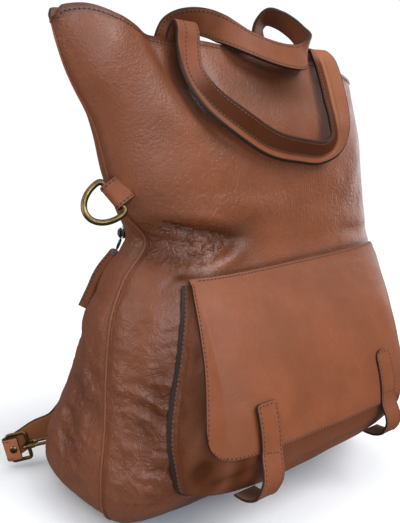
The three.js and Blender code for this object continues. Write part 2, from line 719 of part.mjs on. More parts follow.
// Slider on the tape, its link and the leather pull
const sliderFoot = new THREE.Vector3(SLIDER_AT, bodyY(1, SLIDER_AT, ZIP_AT), ZIP_AT);
const beside = new THREE.Vector3(SLIDER_AT + 2, bodyY(1, SLIDER_AT + 2, ZIP_AT), ZIP_AT);
const tapeRun = beside.sub(sliderFoot).normalize();
const tapeOut = new THREE.Vector3(-tapeRun.y, tapeRun.x, 0);
const sliderStart = sliderFoot.clone().addScaledVector(tapeOut, LONGEST_REACH);
const sliderReach = [-0.5, 0, 0.5].map((share) => {
  const from = sliderStart.clone().addScaledVector(tapeRun, share * SLIDER_WIDE);
  return Math.min(...[-6, -1, 4].map((up) => reachTo([tape], from.clone().setZ(ZIP_AT + up), tapeOut.clone().negate())));
});
const sliderOff = LONGEST_REACH - Math.min(...sliderReach) + GAP + SLIDER_DEEP / 2;
const sliderMiddle = sliderFoot.clone().addScaledVector(tapeOut, sliderOff).add(new THREE.Vector3(0, 0, -1));
const slider = new THREE.BoxGeometry(SLIDER_WIDE, SLIDER_DEEP, SLIDER_TALL);
add('zip_slider', slider, DARK_METAL).applyMatrix4(basis(tapeRun, tapeOut, sliderMiddle));

const linkDrop = SLIDER_TALL / 2 + LINK_RADIUS + LINK_WIRE + GAP;
const linkMiddle = sliderMiddle.clone().addScaledVector(tapeOut, LINK_SWING).add(new THREE.Vector3(0, 0, -linkDrop));
const linkOutline = new THREE.Path().absarc(0, 0, LINK_RADIUS, 0, Math.PI * 2, false);
const link = wireRing(linkOutline, LINK_WIRE, 14, 6);
add('zip_link', link, DARK_METAL).applyMatrix4(basis(tapeRun, new THREE.Vector3(0, 0, 1).addScaledVector(tapeOut, -0.4), linkMiddle));

const pullTop = linkMiddle.clone().addScaledVector(tapeOut, PULL_SWING);
pullTop.z -= LINK_RADIUS + LINK_WIRE + GAP;
const pullRows = [{ ...PULL[0], x: pullTop.x, y: pullTop.y, z: pullTop.z }, ...PULL.slice(1)];
add('zip_pull', strap(strapRoute(pullRows), PULL_WIDE, WALL, 9), STRAP_LEATHER);

// Shoulder straps with their eyes, rivets and hooks
const eyeRun = new THREE.Vector3(EYE_RUN.x, EYE_RUN.y, EYE_RUN.z).normalize();
const eyeFace = new THREE.Vector3(eyeRun.y, -eyeRun.x, 0).normalize();
const eyeUp = eyeFace.clone().cross(eyeRun);
const FOLD = EYE_WIRE + 0.5 + STRAP_THICK / 2;
const STRAP_RISE = 0.25;

function mirrored(v, side) {
  return new THREE.Vector3(side * v.x, v.y, v.z);
}

for (const { name, side } of [{ name: 'left', side: 1 }, { name: 'right', side: -1 }]) {
  const bar = new THREE.Vector3(EYE_BAR.x, EYE_BAR.y, EYE_BAR.z);
  const rows = SHOULDER.map((row) => ({ ...row, y: bodyY(1, side * row.x, row.z) + row.off, wy: 0 }));
  const near = (alongRun, turn) => {
    const p = bar.clone().addScaledVector(eyeRun, alongRun).addScaledVector(eyeFace, turn);
    const rise = turn < 0 ? STRAP_RISE * Math.max(0, alongRun) : 0;
    rows.push({ x: p.x, y: p.y, z: p.z + rise, wx: eyeUp.x, wy: eyeUp.y, wz: eyeUp.z });
  };
  near(17, -FOLD - 10);
  near(7, -FOLD - 2.5);
  near(0, -FOLD);
  near(-FOLD * 0.75, -FOLD * 0.7);
  near(-FOLD, 0);
  near(-FOLD * 0.75, FOLD * 0.7);
  near(0, FOLD);
  near(12, FOLD);
  const placed = rows.map((row) => ({ ...row, x: side * row.x, wx: side * row.wx }));
  add(`shoulder_strap_${name}`, strap(strapRoute(placed), SHOULDER_WIDE, STRAP_THICK, 44), STRAP_LEATHER);

  const eyeMiddle = bar.clone().addScaledVector(eyeRun, EYE_WIDE / 2);
  const run = mirrored(eyeRun, side);
  const up = new THREE.Vector3(0, 0, 1);
  const eye = wireRing(roundedFrame(EYE_WIDE, EYE_TALL, 3), EYE_WIRE, 28, 6);
  add(`strap_eye_${name}`, eye, BRASS).applyMatrix4(basis(run, up, mirrored(eyeMiddle, side)));

  const rivetAt = bar.clone().addScaledVector(eyeRun, 6).addScaledVector(eyeFace, FOLD + STRAP_THICK / 2 + 1.2);
  const rivet = new THREE.CylinderGeometry(3.2, 4, 1.4, 14);
  const face = mirrored(eyeFace, side);
  add(`strap_rivet_${name}`, rivet, BRASS).applyMatrix4(basis(up, face, mirrored(rivetAt, side)));

  const hookStart = EYE_WIDE - EYE_WIRE - HOOK_WIRE - 0.6;
  const hookMiddle = bar.clone().addScaledVector(eyeRun, hookStart + HOOK_LONG / 2);
  const hook = wireRing(roundedFrame(HOOK_LONG, HOOK_WIDE, HOOK_CORNER), HOOK_WIRE, 32, 6);
  add(`snap_hook_${name}`, hook, BRASS).applyMatrix4(basis(run, face, mirrored(hookMiddle, side)));

  const tabBar = bar.clone().addScaledVector(eyeRun, hookStart + HOOK_LONG);
  const tabFrame = basis(face, run.clone().negate(), mirrored(tabBar, side));
  add(`base_tab_${name}`, loopTab(tabFrame, BASE_TAB_WIDE, HOOK_WIRE, WALL, 2), STRAP_LEATHER);
}

export default backpack;
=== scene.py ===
import math

import bpy
import numpy as np
from mathutils import Matrix, Vector, noise


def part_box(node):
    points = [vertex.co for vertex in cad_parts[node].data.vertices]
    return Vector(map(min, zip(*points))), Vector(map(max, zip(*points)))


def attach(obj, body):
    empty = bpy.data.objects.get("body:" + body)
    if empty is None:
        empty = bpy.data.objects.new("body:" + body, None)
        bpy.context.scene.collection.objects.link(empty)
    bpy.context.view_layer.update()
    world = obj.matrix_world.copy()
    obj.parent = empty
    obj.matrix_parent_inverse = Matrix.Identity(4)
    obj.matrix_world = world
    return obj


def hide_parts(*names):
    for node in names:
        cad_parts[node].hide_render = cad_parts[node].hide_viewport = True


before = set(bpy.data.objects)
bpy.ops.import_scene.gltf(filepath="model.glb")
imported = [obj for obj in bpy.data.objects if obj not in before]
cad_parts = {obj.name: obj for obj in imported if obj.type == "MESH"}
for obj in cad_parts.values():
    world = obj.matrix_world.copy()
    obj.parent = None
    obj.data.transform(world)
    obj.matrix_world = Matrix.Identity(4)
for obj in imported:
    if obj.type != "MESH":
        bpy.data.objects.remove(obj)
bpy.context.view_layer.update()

# Frame: the origin is the middle of the base, this far behind the bag's axis
BASE_MIDDLE = 62.0
ORIGIN = np.array([0.0, -BASE_MIDDLE, 0.0])

# Leather and clearances
WALL = 2.0
STRAP_THICK = 3.0
SEAT = 0.6
SEAM = 0.15
BAR_PLAY = 0.8

# Straps
HANDLE_WIDE = 25.0
CLOSURE_WIDE = 25.0
SHOULDER_WIDE = 25.0
TAB_WIDE = 24.0
BASE_TAB_WIDE = 7.5
PULL_WIDE = 10.0

# Rings and hooks
RING_WIRE = 2.7
RING_HALF = 17.2
RING_DEEP = 28.0
EYE_WIRE = 2.0
EYE_WIDE = 21.0
EYE_TALL = 29.0
HOOK_WIRE = 1.8
HOOK_LONG = 33.5
HOOK_WIDE = 13.0

# Heights of the bag
RIM = 436.0
SLEEVE = 312.0
POCKET_LOW = 46.0
POCKET_TOP = 224.0
FLAP_LOW = 90.0
FLAP_TOP_LEFT = 229.0
FLAP_TOP_RIGHT = 240.0
FLAP_ROUND = 30.0
FLAP_ROUND_RIGHT = 46.0
FLAP_TOP_ROUND = 18.0
FLAP_OFF = 1.5
FLAP_INSET = 4.0
FLAP_INSET_RIGHT = 6.0
FLAP_OVERHANG = 1.5
FLAP_SPREAD = 100.0
FLAP_FREE = 24.0
FLAP_FREE_TOP = 8.0
FLANGE = 6.0

# Zip
ZIP_AT = 262.0
ZIP_HALF = 108.0
TAPE_TALL = 14.0
TAPE_OFF = 1.6
TAPE_THICK = 1.2
SLIDER_AT = -103.0
SLIDER_DEEP = 4.5
SLIDER_TALL = 10.0
LINK_RADIUS = 4.4
LINK_WIRE = 0.9
LINK_SWING = 3.5
PULL_SWING = 2.2

# Sewing
STITCH_PITCH = 3.8
STITCH_LONG = 2.7
STITCH_THICK = 0.42
STITCH_INSET = 2.8
HOLE_LONG = 1.5
HOLE_WIDE = 0.7
HOLE_TALL = 0.14
THREAD_LIFT = 0.1


def table(columns, *rows):
    """The columns of a short table, by name."""
    return {name: np.array(values, float) for name, values in zip(columns.split(), zip(*rows))}


def rows_of(columns, *rows):
    """The rows of a short table, each with its values by name."""
    return [dict(zip(columns.split(), row)) for row in rows]


# Cross sections of the bag
BODY = table(
    "z left right seam front back square round",
    (0, 146, 158, 17, 14, 113, 5.5, 2.6),
    (5, 157, 168, 13.5, 22.5, 128.5, 6, 2.8),
    (14, 168, 176, 8, 33, 142, 7, 2.9),
    (30, 177, 182, 2, 45, 154, 7.5, 3),
    (52, 181, 185, -4, 56, 156, 7, 2.9),
    (100, 173, 187, 0, 64, 133, 6, 2.6),
    (150, 166, 190, 6, 66, 106, 5, 2.4),
    (190, 159.5, 195, 8, 64, 88, 4.4, 2.3),
    (225, 144, 197, 9, 58, 71, 3.8, 2.2),
    (258, 120, 191, 8, 50, 60, 3.4, 2.1),
    (285, 142, 188, 10, 50, 53, 3, 2.1),
    (312, 155.5, 183, 11, 52, 52, 3, 2.1),
    (355, 168, 180, 12, 50, 48, 3, 2.1),
    (400, 193.5, 176, 14, 38, 38, 3, 2.1),
    (436, 206, 175, 15, 24, 28, 3, 2.1),
)

# Rise of the rim across the bag, from the left corner to the right one
RIM_RISE = table(
    "z rise", (-1, 3), (-0.97, 13), (-0.9, 15), (-0.77, 8), (-0.62, 0), (-0.3, -3), (0.5, -8), (1, -20)
)

# Main folds and swellings: place, direction of the crease, half length, half width and depth
FOLDS = rows_of(
    "side x y z tx ty tz long wide deep",
    (-1, -85, -34, 266, 1, -0.4, -0.15, 50, 9, 7),
    (-1, -82, -34, 250, 1, -0.26, 0.3, 34, 7, 4),
    (-1, -40, -44, 287, 1, -0.1, 0, 80, 13, -5),
    (-1, 125, -36, 255, 1, 0.4, -0.05, 55, 8, 2),
    (-1, -100, -20, 406, 0.35, -0.2, -1, 60, 18, 9),
    (-1, -165, -2, 428, 0.2, 0, 1, 50, 24, -6),
    (-1, -152, -38, 120, 0.1, 0, 1, 45, 9, 4),
    (1, -168, 62, 118, 0, 1, 0.3, 42, 12, 6),
    (1, -150, 58, 190, 0, 1, -0.4, 36, 18, -4),
    (1, -110, 44, 259, 1, 1, 0, 28, 22, -8),
    (1, 40, 56, 285, 1, 0, 0.05, 90, 12, 4),
)

# Cross sections of the bellows pocket in front of the panel
POCKET = table(
    "z left right depth",
    (46, 128, 146, 0),
    (49, 136, 157, 17),
    (54, 143, 165, 27),
    (62, 146, 174, 35),
    (75, 148.5, 179, 41),
    (92, 150, 181, 43),
    (110, 148, 182, 42),
    (135, 142, 183, 38),
    (160, 135, 184, 31),
    (185, 129, 184, 22),
    (205, 123.5, 183, 13),
    (224, 117.5, 181, 5),
)
SAG = {"low": 46, "high": 92, "x": -50, "wide": 60, "deep": 6, "rise": 5, "from": 20, "to": 150}

# Closure strap below the flap: distance out from the flap face and height
LOOP = rows_of(
    "out z",
    (2.5, 84),
    (6, 76),
    (7.5, 68),
    (6, 60),
    (2, 53),
    (-6, 49.5),
    (-14, 49),
    (-20, 49.5),
)
CLOSURES = rows_of(
    "name x top lift curl lean round", ("left", -84, 131, 2, 1, 0.3, 4), ("right", 92, 142, 8, 0.9, 0.1, 9)
)

# Front handle: place, distance off the front panel (none where it is sewn inside), direction across the strap
FRONT_HANDLE = rows_of(
    "x z off wx wy wz",
    (-88, 398, None, 1, 0, 0),
    (-88, 422, None, 1, 0, 0),
    (-88, 439, -7, 1, 0, 0),
    (-88, 447, 1, 1, 0, 0),
    (-89, 440, 7, 1, 0, 0),
    (-91, 425, 7, 1, -0.1, 0),
    (-92, 405, 8, 1, -0.2, 0.1),
    (-82, 382, 10, 0.85, -0.3, 0.45),
    (-56, 360, 12, 0.5, -0.4, 0.75),
    (-22, 344, 13, 0.25, -0.45, 0.85),
    (18, 338, 13, 0.05, -0.5, 0.85),
    (49, 337, 14, -0.15, -0.45, 0.85),
    (70, 347, 15, -0.5, -0.1, 0.8),
    (79.5, 366, 14, -0.78, 0.3, 0.5),
    (84, 388, 13, -0.82, 0.45, 0.2),
    (88, 414, 11, -0.85, 0.4, 0.1),
    (90, 431, 8, -0.95, 0.25, 0),
    (90, 440, 1.5, -1, 0, 0),
    (90, 434, -6, -1, 0, 0),
    (90, 418, None, -1, 0, 0),
    (90, 396, None, -1, 0, 0),
)

# Back handle: it rises from the back of the mouth and falls forward over the front rim
BACK_HANDLE = rows_of(
    "x y z wx wy wz",
    (-72, None, 396, -1, 0, 0),
    (-73, None, 422, -1, 0, 0),
    (-76, 32, 441, -1, 0, 0.1),
    (-71, 27, 451, -0.95, 0.1, 0.3),
    (-61, 17, 455, -0.8, 0.2, 0.6),
    (-50, 3, 452, -0.4, 0.4, 0.8),
    (-41, -12, 444, -0.15, 0.45, 0.9),
    (-26, -24, 435, 0.05, 0.4, 0.9),
    (-2, -31, 428, 0.1, 0.35, 0.92),
    (26, -31, 426, 0.1, 0.3, 0.92),
    (51, -25, 430, 0.1, 0.2, 0.92),
    (66, -17, 442, -0.25, -0.57, 0.78),
    (73, -3, 452, -0.32, -0.51, 0.78),
    (74, 10, 463, -0.46, -0.6, 0.65),
    (68, 22, 472, -0.48, -0.7, 0.52),
    (58, 30, 475, -0.6, -0.6, 0.5),
    (51, 35, 466, -0.85, -0.45, 0.2),
    (50, 34.5, 446, -1, -0.1, 0.1),
    (52, None, 422, -1, 0, 0),
    (53, None, 396, -1, 0, 0),
)

# Left shoulder strap from the upper back to the eye; the right one is its mirror image
EYE_BAR = np.array([-170.0, 188.0, 20.0])
EYE_RUN = np.array([0.72, -0.65, 0.24])
STRAP_RISE = 0.25
SHOULDER = rows_of(
    "x z off wx wz",
    (-15, 398, 2.4, -1, 0),
    (-20, 360, 2.6, -1, 0),
    (-30, 312, 6, -1, 0.1),
    (-44, 258, 22, -1, 0.2),
    (-58, 205, 24, -1, 0.2),
    (-74, 150, 20, -1, 0.25),
    (-90, 105, 16, -1, 0.4),
    (-104, 72, 15, -0.8, 0.7),
    (-120, 43, 25, -0.5, 0.9),
    (-139, 34, 38, -0.3, 1),
)

# Zip pull hanging from the slider
PULL = rows_of(
    "x y z wx wy wz",
    (-127, 72, 224, 0.5, -0.53, -0.44),
    (-133, 78.5, 206, 0.5, -0.53, -0.44),
    (-139, 84, 189, 0.5, -0.53, -0.44),
)

# Side rings: middle of the straight bar, the bar's direction and the way the ring hangs
SIDE_RINGS = rows_of(
    "name at bar out",
    ("left", (-157, 4, 300), (0.387, -0.535, -0.751), (-0.745, 0.298, -0.596)),
    ("right", (195.5, 21, 300), (0.1, 0.5, 0.86), (0.62, 0.65, -0.45)),
)


# Number helpers


def ease(tab, column, z):
    """Smooth value of a column at heights z, without overshoot between rows."""
    key, value = tab["z"], tab[column]
    slope = np.diff(value) / np.diff(key)
    before, after = slope[:-1], slope[1:]
    same = before * after > 0
    tangent = np.empty_like(value)
    tangent[0], tangent[-1] = slope[0], slope[-1]
    tangent[1:-1] = np.where(same, 2 * before * after / np.where(same, before + after, 1), 0)
    at = np.clip(z, key[0], key[-1])
    i = np.clip(np.searchsorted(key, at) - 1, 0, len(key) - 2)
    step = key[i + 1] - key[i]
    t = (at - key[i]) / step
    rest = 1 - t
    ends = rest**2 * (1 + 2 * t) * value[i] + t**2 * (3 - 2 * t) * value[i + 1]
    return ends + t * rest**2 * step * tangent[i] - t**2 * rest * step * tangent[i + 1]


def unit(v):
    v = np.asarray(v, float)
    return v / np.maximum(np.linalg.norm(v, axis=-1, keepdims=True), 1e-9)


def smooth(low, high, v):
    """0 below low, 1 above high, and smooth between them."""
    t = np.clip((np.asarray(v, float) - low) / (high - low), 0, 1)
    return t * t * (3 - 2 * t)


def bump_at(v, middle, wide):
    return np.exp(-(((v - middle) / wide) ** 2))


def ripple(points, size, seed):
    """Smooth noise from about -1 to 1 with features of the given size, one or three numbers in mm."""
    flat = (points.reshape(-1, 3) / np.asarray(size, float) + seed).tolist()
    return np.array([noise.noise(p) for p in flat]).reshape(points.shape[:-1])


def ridges(points, size, seed):
    """Noise with sharp crests, from about -1 in the hollows to 1 on the crests."""
    return 1 - 4 * np.abs(ripple(points, size, seed))


def run_along(curve):
    """Distance of each point from the start of a curve."""
    return np.concatenate([[0], np.cumsum(np.linalg.norm(np.diff(curve, axis=0), axis=1))])


def at_run(at, run, values):
    """Values at the given distances along a curve."""
    return np.stack([np.interp(at, run, column) for column in values.T], 1)


def even_steps(curve, count):
    """The curve again as count points at even distances along it."""
    run = run_along(curve)
    return at_run(np.linspace(0, run[-1], count), run, curve)


def grid_normals(grid):
    return unit(np.cross(np.gradient(grid, axis=0), np.gradient(grid, axis=1)))


def bulge(u, square, rounding):
    return np.maximum(0, 1 - np.minimum(1, np.abs(u)) ** square) ** (1 / rounding)


# Surfaces of the bag


def half_width(x, z):
    return np.where(np.asarray(x) < 0, ease(BODY, "left", z), ease(BODY, "right", z))


def body_y(side, x, z):
    """Smooth outer face of the bag, side -1 for the front and +1 for the back."""
    depth = ease(BODY, "front" if side < 0 else "back", z)
    swell = bulge(x / half_width(x, z), ease(BODY, "square", z), ease(BODY, "round", z))
    return ease(BODY, "seam", z) + side * depth * swell


def pocket_y(x, z):
    x = np.asarray(x, float)
    left = bulge(x / ease(POCKET, "left", z), 6, 2.6)
    right = bulge(x / ease(POCKET, "right", z), 3, 2.2)
    return body_y(-1, x, z) - SEAT - ease(POCKET, "depth", z) * np.where(x < 0, left, right)


def pocket_sag(x, z):
    """How far the pocket's lower edge hangs on the left and rises on the right."""
    fade = np.clip((SAG["high"] - z) / (SAG["high"] - SAG["low"]), 0, 1)
    hang = SAG["deep"] * bump_at(x, SAG["x"], SAG["wide"])
    return fade * (SAG["rise"] * smooth(SAG["from"], SAG["to"], x) - hang)


def flap_seat(x, z):
    """Face that the flap lies on: the pocket, then the panel above it."""
    over = np.exp(-np.maximum(0, z - POCKET_TOP) / 7)
    step = pocket_y(x, POCKET_TOP) - body_y(-1, x, POCKET_TOP)
    return np.where(z <= POCKET_TOP, pocket_y(x, z), body_y(-1, x, z) + step * over)


def fold_depth(folds, points):
    """How far the folds of a table press each point in."""
    depth = np.zeros(points.shape[:-1])
    for fold in folds:
        run = unit([fold["tx"], fold["ty"], fold["tz"]])
        away = points - np.array([fold["x"], fold["y"], fold["z"]], float)
        along = away @ run
        off = (away**2).sum(-1) - along**2
        depth += fold["deep"] * np.exp(-((along / fold["long"]) ** 2) - off / fold["wide"] ** 2)
    return depth


def body_folds(side):
    return [fold for fold in FOLDS if fold["side"] == side]


def folded_front(x, z):
    y = float(body_y(-1, x, z))
    return y + float(fold_depth(body_folds(-1), np.array([x, y, z], float)))


# Meshes

SHARP_ANGLE = 48


def place(points):
    return (np.asarray(points, float) + ORIGIN) / 1000


def build(name, points, faces, kinds, materials, slot, body="bag", replaces=(), values=None):
    """One piece from points in mm: kinds picks each face's material, values are point attributes."""
    mesh = bpy.data.meshes.new(name)
    mesh.from_pydata(place(points).tolist(), [], [tuple(face) for face in faces])
    for material in materials:
        mesh.materials.append(material)
    mesh.polygons.foreach_set("material_index", np.asarray(kinds, np.int32))
    mesh.shade_smooth()
    mesh.set_sharp_from_angle(angle=math.radians(SHARP_ANGLE))
    for key, value in (values or {}).items():
        layer = mesh.attributes.new(key, "FLOAT", "POINT")
        layer.data.foreach_set("value", np.asarray(value, np.float32).ravel())
    piece = bpy.data.objects.new(name, mesh)
    bpy.context.scene.collection.objects.link(piece)
    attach(piece, body)
    if replaces:
        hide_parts(*replaces)


def grid_faces(rows, columns):
    index = np.arange(rows * columns).reshape(rows, columns)
    corners = [index[:-1, :-1], index[1:, :-1], index[1:, 1:], index[:-1, 1:]]
    return np.stack(corners, -1).reshape(-1, 4)


def closed_sheet(face, under):
    """Points, faces and kinds of the closed body between two grids: 0 face, 1 raw edge, 2 underside."""
    rows, columns = face.shape[:2]
    count = rows * columns
    index = np.arange(count).reshape(rows, columns)
    top = grid_faces(rows, columns)
    low = top[:, ::-1] + count
    edge = np.concatenate([index[0], index[1:, -1], index[-1, -2::-1], index[-2:0:-1, 0]])
    after = np.roll(edge, -1)
    side = np.stack([edge, after, after + count, edge + count], -1)
    kinds = np.repeat([0, 2, 1], [len(top), len(low), len(side)])
    points = np.concatenate([face.reshape(-1, 3), under.reshape(-1, 3)])
    return points, np.concatenate([top, low, side]).tolist(), kinds


def sweep(sections, closed=False):
    """Points and faces of a body swept through closed sections, each a ring of points."""
    count, sides = sections.shape[:2]
    index = np.arange(count * sides).reshape(count, sides)
    here = index if closed else index[:-1]
    ahead = np.roll(index, -1, 0) if closed else index[1:]
    quads = np.stack([here, ahead, np.roll(ahead, -1, 1), np.roll(here, -1, 1)], -1).reshape(-1, 4)
    faces = quads.tolist()
    if not closed:
        faces.append(index[0].tolist())
        faces.append(index[-1][::-1].tolist())
    return sections.reshape(-1, 3), faces


def plain(points, faces, kind=0):
    """A body whose faces are all of one kind."""
    return points, faces, [kind] * len(faces)


def merge(parts):
    """Several (points, faces, kinds) as one."""
    points, faces, kinds, start = [], [], [], 0
    for part_points, part_faces, part_kinds in parts:
        points.append(part_points)
        faces += [[start + i for i in face] for face in part_faces]
        kinds += list(part_kinds)
        start += len(part_points)
    return np.concatenate(points), faces, kinds


def wire(path, radius, closed, sides, flat):
    """Round wire along a flat path; flat is the normal of the plane that it lies in."""
    path = np.asarray(path, float)
    if closed:
        run = unit(np.roll(path, -1, 0) - np.roll(path, 1, 0))
    else:
        run = unit(np.gradient(path, axis=0))
    side = unit(np.cross(run, flat))
    top = unit(np.cross(side, run))
    turn = np.linspace(0, 2 * math.pi, sides, endpoint=False)
    ring = np.cos(turn)[None, :, None] * side[:, None] + np.sin(turn)[None, :, None] * top[:, None]
    return sweep(path[:, None] + radius * ring, closed)


def lathe(profile, at, axis, sides=20):
    """Turned body: the profile's rows are radius and height along the axis from at."""
    axis = unit(axis)
    side = unit(np.cross(axis, [0.3, 0.5, 0.8]))
    top = np.cross(axis, side)
    turn = np.linspace(0, 2 * math.pi, sides, endpoint=False)
    ring = np.cos(turn)[:, None] * side + np.sin(turn)[:, None] * top
    sections = np.array([np.asarray(at) + axis * height + ring * radius for radius, height in profile])
    return sweep(sections[:, ::-1])


# Straps

LONG_ROUTE = 900
SHORT_ROUTE = 240
PULL_ROUTE = 200


def route(rows, stations):
    """Smooth strap route through rows: middles, run, across and outward directions."""
    points = np.array([[r["x"], r["y"], r["z"]] for r in rows], float)
    across = np.array([[r["wx"], r["wy"], r["wz"]] for r in rows], float)
    ends = np.concatenate([[2 * points[0] - points[1]], points, [2 * points[-1] - points[-2]]])
    share = np.linspace(0, len(rows) - 1, stations)
    i = np.minimum(share.astype(int), len(rows) - 2)
    t = (share - i)[:, None]
    p0, p1, p2, p3 = (ends[i + k] for k in range(4))
    spans = ((p0, p1), (p1, p2), (p2, p3))
    d0, d1, d2 = (np.linalg.norm(b - a, axis=1, keepdims=True) ** 0.5 for a, b in spans)
    m1 = ((p1 - p0) / d0 - (p2 - p0) / (d0 + d1) + (p2 - p1) / d1) * d1
    m2 = ((p2 - p1) / d1 - (p3 - p1) / (d1 + d2) + (p3 - p2) / d2) * d1
    middle = p1 + m1 * t + (3 * (p2 - p1) - 2 * m1 - m2) * t**2 + (2 * (p1 - p2) + m1 + m2) * t**3
    wide = across[i] * (1 - t) + across[i + 1] * t
    return frames(middle, wide)


def frames(middle, wide):
    run = unit(np.gradient(middle, axis=0))
    across = unit(wide - (wide * run).sum(-1, keepdims=True) * run)
    return middle, run, across, np.cross(run, across)


def even_route(path, step):
    """A strap route with its stations at even distances."""
    middle, _, across, _ = path
    run = run_along(middle)
    at = np.linspace(0, run[-1], max(8, int(run[-1] / step)))
    return frames(at_run(at, run, middle), at_run(at, run, across))


def strap_section(wide, thick, steps=9):
    """Ring of a strap's section as (across, out) with soft corners: face, edge, back, edge; and its kinds."""
    half, deep = wide / 2, thick / 2
    soft = min(0.7, deep * 0.6)
    face = [(s * (half - soft), deep) for s in np.linspace(-1, 1, steps)]
    upper = [(half - 0.25 * soft, deep - 0.5 * soft), (half, deep - soft)]
    right = upper + [(a, -b) for a, b in reversed(upper)]
    back = [(-a, -b) for a, b in face]
    left = [(-a, -b) for a, b in right]
    kinds = [0] * (steps - 1) + [1] * 5 + [2] * (steps - 1) + [1] * 5
    return np.array(face + right + back + left), np.array(kinds)


def strap_body(path, wide, thick, width_at=None, shape=None, steps=9):
    """Points, faces, kinds of a strap; width_at scales each station's width, shape bends its section."""
    middle, _, across, out = path
    ring, ring_kinds = strap_section(wide, thick, steps)
    scale = np.ones(len(middle)) if width_at is None else width_at
    w = ring[None, :, 0] * scale[:, None]
    h = np.repeat(ring[None, :, 1], len(middle), 0)
    if shape is not None:
        w, h = shape(w, h)
    sections = middle[:, None] + across[:, None] * w[..., None] + out[:, None] * h[..., None]
    points, faces = sweep(sections[:, ::-1])
    order = np.roll(ring_kinds[::-1], -1)
    kinds = np.tile(order, len(middle) - 1).tolist() + [1, 1]
    return points, faces, kinds


def strap_line(path, offset, lift, first, last, width_at=None):
    """Line along a strap's face for sewing: places and outward directions."""
    middle, _, across, out = path
    scale = 1.0 if width_at is None else width_at[:, None]
    line = middle + across * offset * scale + out * lift
    return line[first:last], np.sign(lift) * out[first:last]


# Sewing

# A bead's rings as shares of its half length and of its half width
BEAD = [(-1.0, 0.25), (-0.7, 0.8), (0.0, 1.0), (0.7, 0.8), (1.0, 0.25)]
BEAD_SIDES = 6


def stitches(line, normals):
    """Places of the threads along a line and of the needle holes between them."""
    run = run_along(line)
    count = max(2, int(run[-1] / STITCH_PITCH))
    found = []
    for shift in (0.5, 0.0):
        at = (np.arange(count) + shift) * run[-1] / count
        along = at_run(at + 0.5, run, line) - at_run(at - 0.5, run, line)
        found.append((at_run(at, run, line), unit(along), unit(at_run(at, run, normals))))
    return found


def beads(places, long, wide, tall):
    """Many small rounded beads: points and faces."""
    middle, along, out = places
    side = unit(np.cross(out, along))
    out = np.cross(along, side)
    turn = np.linspace(0, 2 * math.pi, BEAD_SIDES, endpoint=False)
    sections = np.array([[(x, math.cos(a) * r, math.sin(a) * r) for a in turn] for x, r in BEAD])
    shape = sections.reshape(-1, 3) * np.array([long / 2, wide, tall])
    points = middle[:, None] + shape[None, :, :1] * along[:, None]
    points = points + shape[None, :, 1:2] * side[:, None] + shape[None, :, 2:] * out[:, None]
    _, faces = sweep(sections)
    count = len(shape)
    index = (np.arange(len(middle)) * count)[:, None]
    quads = (index[:, None] + np.array(faces[:-2])[None]).reshape(-1, 4).tolist()
    caps = [(index + np.array(cap)[None]).tolist() for cap in faces[-2:]]
    return points.reshape(-1, 3), quads + caps[0] + caps[1]


def sew(name, lines):
    """One piece with the threads and needle holes of several lines."""
    parts = []
    for line, normals in lines:
        threads, holes = stitches(line, normals)
        parts.append(plain(*beads(threads, STITCH_LONG, STITCH_THICK, STITCH_THICK * 0.8)))
        parts.append(plain(*beads(holes, HOLE_LONG, HOLE_WIDE, HOLE_TALL), 1))
    build(name, *merge(parts), [THREAD, HOLE], "strap_leather")


def inset(line, normals, distance):
    """A line moved across its surface, to the left of its run seen from outside when distance is positive."""
    run = unit(np.gradient(line, axis=0))
    return line + unit(np.cross(normals, run)) * distance


# Materials


